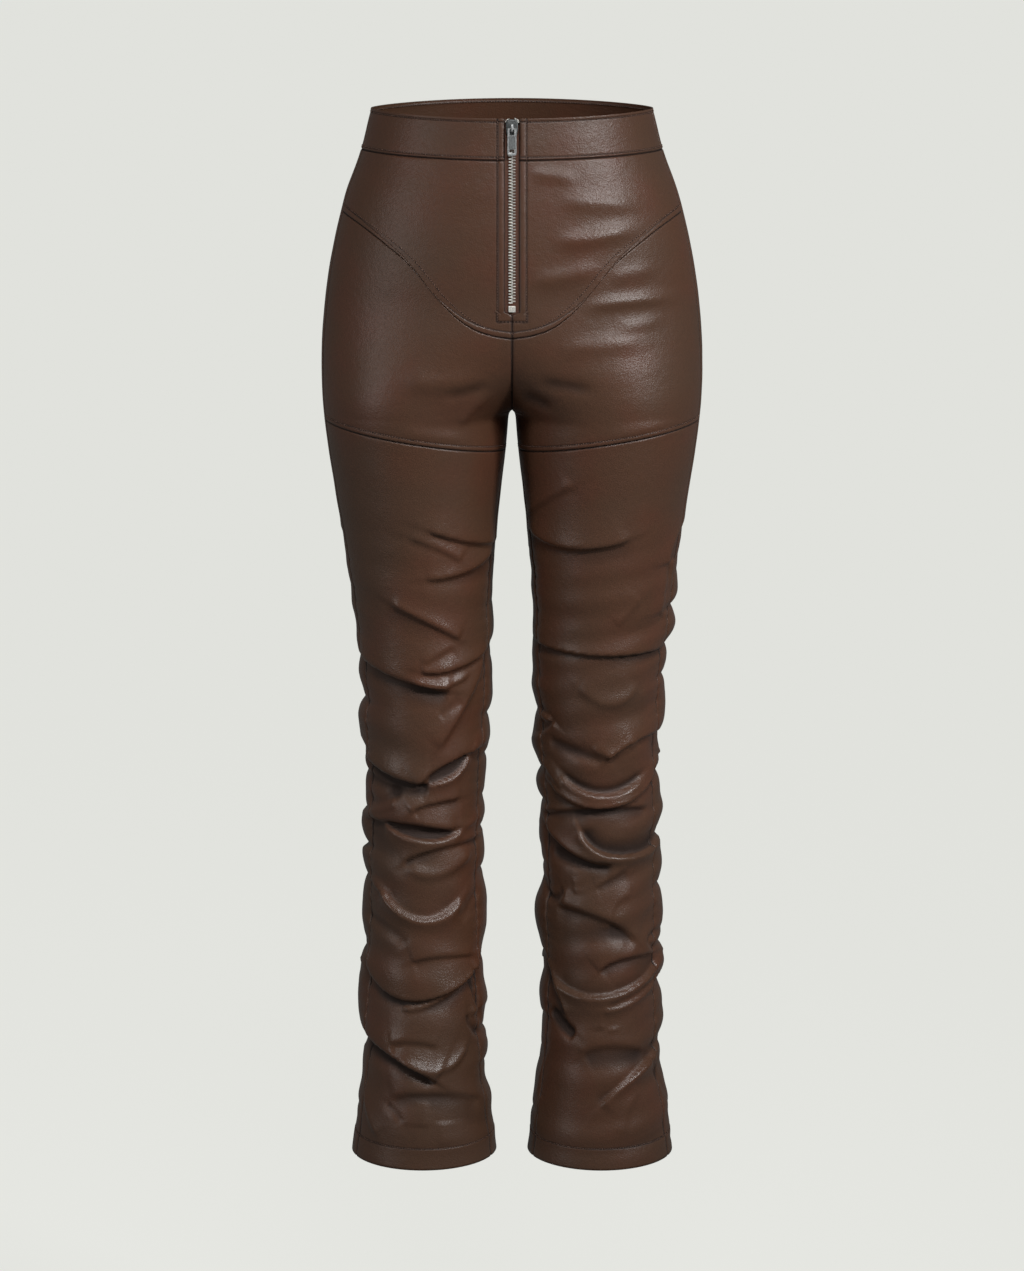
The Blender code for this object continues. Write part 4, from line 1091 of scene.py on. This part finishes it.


# ---------------------------------------------------------------- the topstitching
# Polyester thread in the leather's own brown, in stitches 1.7 mm long, sunk a little into the coating,
# with a low disc of painted shade for the needle hole between each two. One row runs along each band
# edge, the yoke, the thigh seams and the hems, and round the zip.

STITCH_PITCH = 2.5
STITCH_LENGTH = 1.7
THREAD_RADIUS = 0.3
THREAD_ARCH = 0.25
THREAD_PROUD = 0.05
STITCH_RINGS = np.array([0.0, 0.16, 0.5, 0.84, 1.0])
BLUNT = 0.08
STITCH_SIDES = 6
HoleRing = namedtuple("HoleRing", "radius out")
HOLE_RINGS = (
    HoleRing(0.50, -0.25),
    HoleRing(0.55, 0.06),
    HoleRing(0.30, 0.12),
)
INNER_ROW = 8.0
ROW_POINTS = 500
FOOT_POINTS = 60
FOOT_FROM = 0.5
FIRST_STITCH = 1.5
INNER_ROW_PAST = 2
THREAD_DARK = (0.085, 0.042, 0.027, 1)
THREAD_LIGHT = (0.190, 0.100, 0.068, 1)
# Painted shade for the needle holes: nearly black, and a little paler in patches.
HOLE_SHADE_DARKEST = (0.010, 0.004, 0.003, 1)
HOLE_SHADE_PALER = (0.024, 0.010, 0.007, 1)
FIBRE_SCALE = 1600.0


def sewing_thread():
    """Matt twisted thread, with painted shade where the twist turns under: darker where its bump sinks."""
    finish = Finish("sewing_thread")
    twist = finish.noise(FIBRE_SCALE, 2.0)
    # Painted shade: the thread darkens with the same noise that sinks its bump.
    colour = finish.blend(finish.between(0.3, 0.7, twist), THREAD_DARK, THREAD_LIGHT)
    bump = finish.node("ShaderNodeBump", {}, {"Strength": 0.4, "Distance": 0.0002, "Height": twist})
    finish.surface(Base_Color=colour, Roughness=0.62, Normal=bump)
    return finish.material


def needle_hole_shade():
    """Painted shade for the unlit inside of a hole: nearly black, a little uneven, with no shine."""
    finish = Finish("needle_hole_shade")
    patchiness = finish.noise(FIBRE_SCALE, 2.0)
    finish.surface(Base_Color=finish.blend(patchiness, HOLE_SHADE_DARKEST, HOLE_SHADE_PALER), Roughness=0.9)
    return finish.material


thread = sewing_thread()
hole_shade_finish = needle_hole_shade()


def beside(angle, drop, away):
    """Moves a line of places sideways over the cloth: at right angles to its own run, by a distance."""
    turn, fall = 1e-3, 0.5
    round_leg = smooth_cloth(angle + turn, drop) - smooth_cloth(angle - turn, drop)
    down_leg = smooth_cloth(angle, drop + fall) - smooth_cloth(angle, drop - fall)
    round_size = np.linalg.norm(round_leg, axis=-1) / (2 * turn)
    down_size = np.linalg.norm(down_leg, axis=-1) / (2 * fall)
    run = np.stack([np.gradient(angle) * round_size, np.gradient(drop) * down_size])
    run /= np.linalg.norm(run, axis=0)
    return angle - away * run[1] / round_size, drop + away * run[0] / down_size


def sewn_line(side, angle, drop, inside=False):
    """A line of places as points on the cloth, the directions out of it, and the distances along it."""
    points, normal, _ = draped(side, angle, drop)
    if inside:
        points = points - normal * (LEATHER - LAP_LIFT + DIMPLE)
        normal = -normal
    points = points + normal * THREAD_PROUD
    points[..., 0] *= SIDES[side]
    normal = normal * np.array([SIDES[side], 1, 1])
    steps = np.linalg.norm(np.diff(points, axis=0), axis=1)
    return points, normal, np.concatenate([[0], np.cumsum(steps)])


def on_line(line, at):
    """The points at some distances along a sewn line, and the unit directions out of the cloth there."""
    points, normal, length = line
    centre = np.stack([np.interp(at, length, points[:, k]) for k in range(3)], axis=-1)
    out = np.stack([np.interp(at, length, normal[:, k]) for k in range(3)], axis=-1)
    return centre, out / np.linalg.norm(out, axis=-1, keepdims=True)


def circle(sides):
    """The angles of evenly spaced points round a circle."""
    return 2 * np.pi * np.arange(sides) / sides


def stitches(line):
    """The rings of every stitch along a sewn line: stitches x rings x sides x 3.

    Each stitch is a tube round a piece of the line. Its radius swells as the root of a sine, and its
    middle arches out of the cloth while its ends dip in.
    """
    whole = line[2][-1]
    count = int(whole / STITCH_PITCH)
    begin = (np.arange(count) + 0.5) * whole / count - STITCH_LENGTH / 2
    centre, out = on_line(line, begin[:, None] + STITCH_RINGS * STITCH_LENGTH)
    run = centre[:, -1:] - centre[:, :1]
    run /= np.linalg.norm(run, axis=-1, keepdims=True)
    across = np.cross(run, out)
    swell = THREAD_RADIUS * np.sqrt(np.sin(np.pi * (BLUNT + (1 - 2 * BLUNT) * STITCH_RINGS)))[:, None, None]
    centre = centre + out * (THREAD_ARCH * np.sin(np.pi * STITCH_RINGS))[:, None]
    turns = circle(STITCH_SIDES)
    ring = out[:, :, None] * np.cos(turns)[:, None] + across[:, :, None] * np.sin(turns)[:, None]
    return centre[:, :, None] + swell * ring


def needle_hole_shades(line):
    """The rings of a low disc of painted shade for the needle hole between each two stitches, round the
    direction out of the cloth.
    """
    whole = line[2][-1]
    count = int(whole / STITCH_PITCH)
    at = np.arange(1, count) * whole / count
    centre, out = on_line(line, at)
    run = on_line(line, at + THREAD_RADIUS)[0] - centre
    run /= np.linalg.norm(run, axis=-1, keepdims=True)
    across = np.cross(run, out)
    turns = circle(STITCH_SIDES)
    ring = run[:, None] * np.cos(turns)[:, None] + across[:, None] * np.sin(turns)[:, None]
    rings = [centre[:, None] + ring * step.radius + out[:, None] * step.out for step in HOLE_RINGS]
    return np.stack(rings, axis=1)


def ring_faces(count, rings, sides):
    """Quads between the rings of many like tubes, in order, with both ends closed by triangles."""
    index = np.arange(count * rings * sides).reshape(count, rings, sides)
    after = np.roll(index, -1, axis=2)
    quads = np.stack([index[:, :-1], after[:, :-1], after[:, 1:], index[:, 1:]], axis=-1).reshape(-1, 4)
    caps = []
    for k in range(1, sides - 1):
        caps.append(np.stack([index[:, 0, 0], index[:, 0, k + 1], index[:, 0, k]], axis=-1))
        caps.append(np.stack([index[:, -1, 0], index[:, -1, k], index[:, -1, k + 1]], axis=-1))
    return quads.tolist() + np.concatenate(caps).tolist()


def rings_piece(name, rings, material, body="trousers"):
    """Makes one piece of many like tubes, each closed, turned so that the volume inside is positive."""
    count, around, sides = rings.shape[:3]
    faces = ring_faces(count, around, sides)
    first = rings[0] - rings[0].mean(axis=(0, 1))
    if inside_out(first.reshape(-1, 3), np.array(faces[:(around - 1) * sides])):
        faces = [face[::-1] for face in faces]
    return mesh_piece(name, rings, faces, [material], body)


line = np.linspace(0, 1, ROW_POINTS)
hem_side = float(seam_angle(HEM_DROP, "side"))
hem_inner = float(seam_angle(HEM_DROP, "inner"))
for side in SIDES:
    full = np.linspace(band_start, band_end, ROW_POINTS)
    behind = np.linspace(band_end, math.pi / 2, ROW_POINTS)
    seam = yoke_turns(line)
    thigh = thigh_seam(line)
    thigh_inner = float(front_inner_edge(np.array(thigh[0])))
    thigh_side = float(seam_angle(thigh[-1], "side"))
    thigh_angle = np.linspace(thigh_inner, thigh_side, ROW_POINTS)
    hem = HEM_DROP - HEM_STITCH + 0 * line
    front_hem = np.linspace(hem_inner, hem_side, ROW_POINTS)
    back_hem = np.linspace(hem_side, hem_inner + 2 * math.pi, ROW_POINTS)
    zip_rows = {
        "zip_edge": (BOX_SIDE, WAIST_DIP_FRONT + FIRST_STITCH, BOX_END),
        "zip_inner": (INNER_ROW, WAIST_DIP_FRONT + FIRST_STITCH, ZIP_END + INNER_ROW_PAST),
    }
    rows = {
        "band_top": (full, waist_top(full) + BAND_STITCH),
        "band_end": (full, waist_top(full) + BAND_WIDTH - BAND_STITCH),
        "back_band_top": (behind, waist_top(behind) + BAND_STITCH),
        "back_band_end": (behind, waist_top(behind) + BAND_WIDTH - BAND_STITCH),
        "yoke": beside(seam, yoke_seam(seam), -YOKE_LAP),
        "thigh": beside(thigh_angle, thigh, -STITCH_IN),
        "front_hem": (front_hem, hem),
        "back_hem": (back_hem, hem),
    }
    for key, (far, start, end) in zip_rows.items():
        drops = np.linspace(start, end, ROW_POINTS)
        rows[key] = (-edge_turn(drops, far, FRONT_RISE_CURVE), drops)
    across = np.linspace(FOOT_FROM, BOX_SIDE, FOOT_POINTS)
    foot = np.full(FOOT_POINTS, BOX_END)
    rows["zip_foot"] = (-edge_turn(foot, across, FRONT_RISE_CURVE), foot)
    lines = [sewn_line(side, *row) for row in rows.values()]
    lines.append(sewn_line(side, *rows["back_band_top"], inside=True))
    rings_piece(f"topstitching_{side}", np.concatenate([stitches(sewn) for sewn in lines]), thread)
    rings_piece(f"needle_hole_shades_{side}", np.concatenate([needle_hole_shades(sewn) for sewn in lines]), hole_shade_finish)


# ---------------------------------------------------------------- the zip's tapes and teeth
# A metal zip of gauge five: woven tapes behind the opening, and 55 teeth clamped to each tape's edge, which
# mesh in the middle. A square stop closes it at the foot.

TOOTH_PITCH = 2.6
TOOTH_ALONG = 1.1
TOOTH_BACK = 3.1
TOOTH_HEAD = 0.75
TOOTH_PROUD = 0.6
TOOTH_SOFT = 0.8
TOOTH_TAPER = 0.25
NOSE_FROM = 0.4
NOSE_LENGTH = 1.2
TAPE_DARK = (0.070, 0.030, 0.020, 1)
TAPE_LIGHT = (0.200, 0.090, 0.060, 1)
WARP_SCALE = 620.0
WEFT_SCALE = 560.0
RUB_SCALE = 900.0
SCUFF_SCALE = 2600.0
RUBBED_DULL = 0.55
CHAIN_TOP = 21.3
STOP_TOP = 167.1
CHAIN_END = 166.8
STOP_END = 172.6
ToothRing = namedtuple("ToothRing", "inset out")
TOOTH_RINGS = (
    ToothRing(0.12, -1.9),
    ToothRing(0.0, -1.6),
    ToothRing(0.0, 0.1),
    ToothRing(0.10, 0.45),
    ToothRing(0.32, TOOTH_PROUD),
)


def centre_front(drop, out):
    """A point on the centre line of the front, at a distance out from the cloth's outer face."""
    drop = np.asarray(drop, float)
    angle = np.full(drop.shape, -math.pi / 2)
    flat = np.array([0, 1, 1])
    return smooth_cloth(angle, drop) * flat + outward(angle, drop) * flat * np.asarray(out)[..., None]


def zip_steel(name, bright, metallic=1.0):
    """Nickel-plated brass, rubbed bright in some patches and dull in others, at random."""
    finish = Finish(name)
    rub = finish.noise(RUB_SCALE, 3.0, 0.6)
    scuffs = finish.noise(SCUFF_SCALE, 2.0)
    hollow = [RUBBED_DULL * part for part in bright]
    colour = finish.blend(finish.between(0.35, 0.7, rub), [*hollow, 1], [*bright, 1])
    bump = finish.node("ShaderNodeBump", {}, {"Strength": 0.15, "Distance": 0.0001, "Height": scuffs})
    finish.surface(Base_Color=colour, Roughness=0.36 + 0.16 * rub, Normal=bump, Metallic=metallic)
    return finish.material


def woven_tape():
    """Dark brown herringbone tape: two crossed waves on the piece's own place, about 0.5 mm apart, with
    painted shade in the weave's hollows.
    """
    finish = Finish("woven_tape")
    waves = []
    for direction, scale in (("X", WARP_SCALE), ("Z", WEFT_SCALE)):
        settings = {"wave_type": "BANDS", "bands_direction": direction}
        sockets = {"Vector": finish.place(), "Scale": scale, "Distortion": 0.6}
        waves.append(finish.node("ShaderNodeTexWave", settings, sockets, out=1))
    weave = 0.5 * waves[0] + 0.5 * waves[1]
    # The weave's light and dark is partly its pattern and partly painted shade: the colour darkens where the
    # bump sinks.
    colour = finish.blend(weave, TAPE_DARK, TAPE_LIGHT)
    bump = finish.node("ShaderNodeBump", {}, {"Strength": 0.6, "Distance": 0.0003, "Height": weave})
    finish.surface(Base_Color=colour, Roughness=0.85, Normal=bump)
    return finish.material


tape_cloth = woven_tape()
for side in SIDES:
    for cloth_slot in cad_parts[f"zip_tape_{side}"].material_slots:
        cloth_slot.material = tape_cloth


def soft_square(turns):
    """Across and along round a square with soft corners: the cosine's and the sine's signed roots."""
    return [np.sign(wave) * np.abs(wave) ** 0.5 for wave in (np.cos(turns), np.sin(turns))]


tooth_metal = zip_steel("tooth_metal", (0.98, 0.95, 0.88), 0.5)
corner = np.linspace(0, np.pi / 2, 4)
tooth_across, tooth_along = soft_square(np.concatenate([corner + k * np.pi / 2 for k in range(4)]))
teeth = []
for side in SIDES:
    drops = np.arange(CHAIN_TOP + TOOTH_PITCH / 2, CHAIN_END - TOOTH_PITCH / 2, TOOTH_PITCH)
    drops = drops + (0.0 if side == "left" else TOOTH_PITCH / 2)
    half_across = (TOOTH_BACK + TOOTH_HEAD) / 2
    rings = []
    for ring in TOOTH_RINGS:
        x = (half_across - ring.inset) * tooth_across
        taper = 1 - TOOTH_TAPER * smoothstep((-x - NOSE_FROM) / NOSE_LENGTH)
        z = (TOOTH_ALONG / 2 - TOOTH_SOFT * ring.inset) * tooth_along * taper
        point = centre_front(drops[:, None] + z[None], np.full((len(drops), len(z)), ring.out))
        point[..., 0] = (x + (TOOTH_BACK - TOOTH_HEAD) / 2) * SIDES[side]
        rings.append(point)
    teeth.append(np.stack(rings, axis=1))
chain = rings_piece("zip_teeth", np.concatenate(teeth), tooth_metal)
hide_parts("zip_chain")

# Above the slider the two rows part, and their last teeth lean outward on the tapes.
LooseTooth = namedtuple("LooseTooth", "across drop lean")
LOOSE_HALF = 1.5
LOOSE_PROUD = 0.5
LOOSE_TEETH = (
    LooseTooth(4.9, 7.6, 20),
    LooseTooth(4.4, 6.1, 26),
    LooseTooth(3.4, 5.3, 30),
    LooseTooth(-4.7, 7.2, -22),
    LooseTooth(-3.8, 5.8, -28),
)
loose = []
for tooth in LOOSE_TEETH:
    lean = math.radians(tooth.lean)
    rings = []
    for ring in TOOTH_RINGS:
        x = (LOOSE_HALF - ring.inset) * tooth_across
        z = (TOOTH_ALONG / 2 - TOOTH_SOFT * ring.inset) * tooth_along
        down = tooth.drop + x * math.sin(lean) + z * math.cos(lean)
        point = centre_front(down, np.full(len(down), ring.out + LOOSE_PROUD))
        point[:, 0] = tooth.across + x * math.cos(lean) - z * math.sin(lean)
        rings.append(point)
    loose.append(np.stack(rings))
rings_piece("zip_loose_teeth", np.stack(loose), tooth_metal)


# ---------------------------------------------------------------- the stop, the slider and the pull tab
# Cast zinc, plated like the teeth. The stop is a square clamp across both tapes. The slider's two plates
# ride over the teeth, its arched bail holds the tab, and the tab hangs down over the closed teeth.

slider_metal = zip_steel("slider_metal", (0.44, 0.45, 0.45), 0.8)
body_metal = zip_steel("body_metal", (0.10, 0.105, 0.105), 0.7)
dull_metal = zip_steel("dull_metal", (0.20, 0.21, 0.21), 0.6)
SLIDER_AT = 13.0
SLIDER_CORNERS = (
    (-5.3, -6.9), (-2.0, -7.6), (2.0, -7.6), (5.3, -6.9),
    (5.5, 0.2), (4.3, 7.8), (-4.3, 7.8), (-5.5, 0.2),
)
SLIDER_HALF = (5.5, 7.7)
STOP_HALF = 3.1
STOP_SOFT = 0.2
PlateRing = namedtuple("PlateRing", "inset out")
SLIDER_RINGS = (
    PlateRing(0.5, -2.1),
    PlateRing(0.0, -1.8),
    PlateRing(0.0, -1.0),
    PlateRing(0.9, -0.9),
    PlateRing(0.9, 0.1),
    PlateRing(0.0, 0.2),
    PlateRing(0.0, 1.25),
    PlateRing(0.15, 1.6),
    PlateRing(0.5, 1.85),
    PlateRing(1.1, 1.95),
)
STOP_RINGS = (
    PlateRing(0.3, -2.1),
    PlateRing(0.0, -1.8),
    PlateRing(0.0, 0.6),
    PlateRing(0.15, 0.85),
    PlateRing(0.5, 1.0),
    PlateRing(1.0, 1.0),
)
BAIL_PATH = ((-3.0, 1.4), (-3.0, 4.2), (-2.2, 4.75), (0.4, 4.85), (2.9, 4.75), (3.7, 4.2), (3.7, 1.4))
BAIL_HALF = (1.1, 0.45)
BAIL_SIDES = 12
BAIL_ROUNDS = 2
TAB_PIVOT = (1.0, 3.15)
TAB_ACROSS = np.array([-3.9, -3.7, -3.0, -2.75, -2.1, -0.7, 0.7, 2.1, 2.75, 3.0, 3.7, 3.9])
TAB_DOWN = np.array([
    -0.6, -0.4, 0.3, 0.6, 1.8, 3.4, 5.6, 6.3, 6.55, 9, 12,
    15, 17.0, 17.9, 19.4, 20.9, 21.4, 22.1, 22.6, 23.0, 23.3, 23.4,
])
TAB_CORNER = 2.0
# The tab's last row keeps a little width, so that no two of its points meet.
TAB_CORNER_SHARE = 0.999
# The stretches within the tab's outline, each as its half width, its start and its end.
TAB_WINDOW = (1.8, 0.6, 5.6)
TAB_SLOT = (1.8, 17.9, 20.9)
TAB_SUNK = (2.9, 6.4, 21.0)
TAB_DULL = (2.9, 6.5, 17.9)
TAB_FLAT = (3.75, -0.5, 23.2)
TAB_FACE = 0.6
TAB_HOLLOW = 0.22
TAB_BEVEL = 0.15

slider_foot = centre_front(SLIDER_AT, 0.0)
slider_down = centre_front(SLIDER_AT + 1.0, 0.0) - slider_foot
slider_down /= np.linalg.norm(slider_down)
slider_out = np.cross(slider_down, [1.0, 0.0, 0.0])


def at_slider(across, down, out):
    """Places across the zip, down it and out of it as points: the slider's own square axes."""
    parts = np.broadcast_arrays(across, down, out)
    axes = (np.array([1.0, 0.0, 0.0]), slider_down, slider_out)
    return slider_foot + sum(part[..., None] * axis for part, axis in zip(parts, axes))


def corners_cut(before, after):
    """Two points on each stretch of an outline, a quarter and three quarters of the way along."""
    return np.stack([0.75 * before + 0.25 * after, 0.25 * before + 0.75 * after], axis=1).reshape(-1, 2)


def rounded(corners, rounds=3):
    """Rounds a closed outline: each round cuts every corner off."""
    for _ in range(rounds):
        corners = corners_cut(corners, np.roll(corners, -1, axis=0))
    return corners


outline = rounded(np.array(SLIDER_CORNERS, float))
rings = []
for ring in SLIDER_RINGS:
    scale = 1 - ring.inset / np.array(SLIDER_HALF)
    rings.append(at_slider(outline[:, 0] * scale[0], outline[:, 1] * scale[1], ring.out))
slider = rings_piece("slider", np.stack(rings)[None], body_metal)
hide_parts("zip_slider")

path = np.array(BAIL_PATH, float)
for _ in range(BAIL_ROUNDS):
    path = np.concatenate([path[:1], corners_cut(path[:-1], path[1:]), path[-1:]])
run = np.gradient(path, axis=0)
run /= np.linalg.norm(run, axis=1, keepdims=True)
bail_across, bail_out = soft_square(circle(BAIL_SIDES))
wide, thick = BAIL_HALF[0] * bail_across, BAIL_HALF[1] * bail_out
bail = at_slider(wide[None], path[:, :1] - run[:, 1:] * thick, path[:, 1:] + run[:, :1] * thick)
rings_piece("slider_bail", bail[None], slider_metal)

corners = np.array(SQUARE, float) * np.array([STOP_HALF, (STOP_END - STOP_TOP) / 2])
beside_corners = corners * (1 - STOP_SOFT) + np.roll(corners, 1, axis=0) * STOP_SOFT
square = rounded(np.stack([beside_corners, corners], axis=1).reshape(-1, 2), 2)
middle = (STOP_END + STOP_TOP) / 2
rings = []
for ring in STOP_RINGS:
    scale = 1 - ring.inset / STOP_HALF
    point = centre_front(middle + square[:, 1] * scale, np.full(len(square), ring.out))
    point[:, 0] = square[:, 0] * scale
    rings.append(point)
stop = rings_piece("bottom_stop", np.stack(rings)[None], tooth_metal)
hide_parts("zip_bottom_stop")


def pierced_plate(name, front, back, keep, dull, body):
    """A plate from two grids of points. Cells that are not kept are holes, and every free edge is walled."""
    rows, columns = front.shape[:2]
    index = np.arange(rows * columns).reshape(rows, columns)
    cells = np.stack([index[:-1, :-1], index[:-1, 1:], index[1:, 1:], index[1:, :-1]], axis=-1)[keep]
    sides = np.stack([cells, np.roll(cells, -1, axis=1)], axis=-1).reshape(-1, 2)
    whole = {tuple(side) for side in sides.tolist()}
    free = [side for side in sides.tolist() if (side[1], side[0]) not in whole]
    far = rows * columns
    faces = cells.tolist() + (cells[:, ::-1] + far).tolist() + [(b, a, a + far, b + far) for a, b in free]
    points = np.concatenate([front.reshape(-1, 3), back.reshape(-1, 3)])
    used = np.unique(np.array([k for face in faces for k in face]))
    place = np.full(len(points), -1)
    place[used] = np.arange(len(used))
    faces = [[int(place[k]) for k in face] for face in faces]
    metals = [slider_metal, dull_metal]
    plate = mesh_piece(name, points[used], faces, metals, body, smooth=False)
    metal = dull[keep].astype(int).tolist() + [0] * (len(faces) - len(cells))
    plate.data.polygons.foreach_set("material_index", metal)
    return plate


def stretch(across, down, limits):
    """Which places lie within a stretch of the tab."""
    half, start, end = limits
    return (np.abs(across) < half) & (down > start) & (down < end)


across, down = np.meshgrid(TAB_ACROSS, TAB_DOWN)
reach = TAB_ACROSS[-1]
foot = np.clip(down - (TAB_DOWN[-1] - TAB_CORNER), 0, TAB_CORNER)
across = across * (reach - TAB_CORNER + np.sqrt(TAB_CORNER ** 2 - foot ** 2 * TAB_CORNER_SHARE)) / reach
cells = np.meshgrid((TAB_ACROSS[1:] + TAB_ACROSS[:-1]) / 2, (TAB_DOWN[1:] + TAB_DOWN[:-1]) / 2)
keep = ~(stretch(*cells, TAB_WINDOW) | stretch(*cells, TAB_SLOT))
dull = stretch(*cells, TAB_DULL)
bevel = TAB_BEVEL * ~stretch(across, down, TAB_FLAT)
lower, higher = TAB_PIVOT
face_out = TAB_FACE - TAB_HOLLOW * stretch(across, down, TAB_SUNK) - bevel
front = at_slider(across, lower + down, higher + face_out)
back = at_slider(across, lower + down, higher - TAB_FACE + bevel)
tab = pierced_plate("pull_tab_plate", front, back, keep, dull, "pull_tab")
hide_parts("zip_pull_tab")
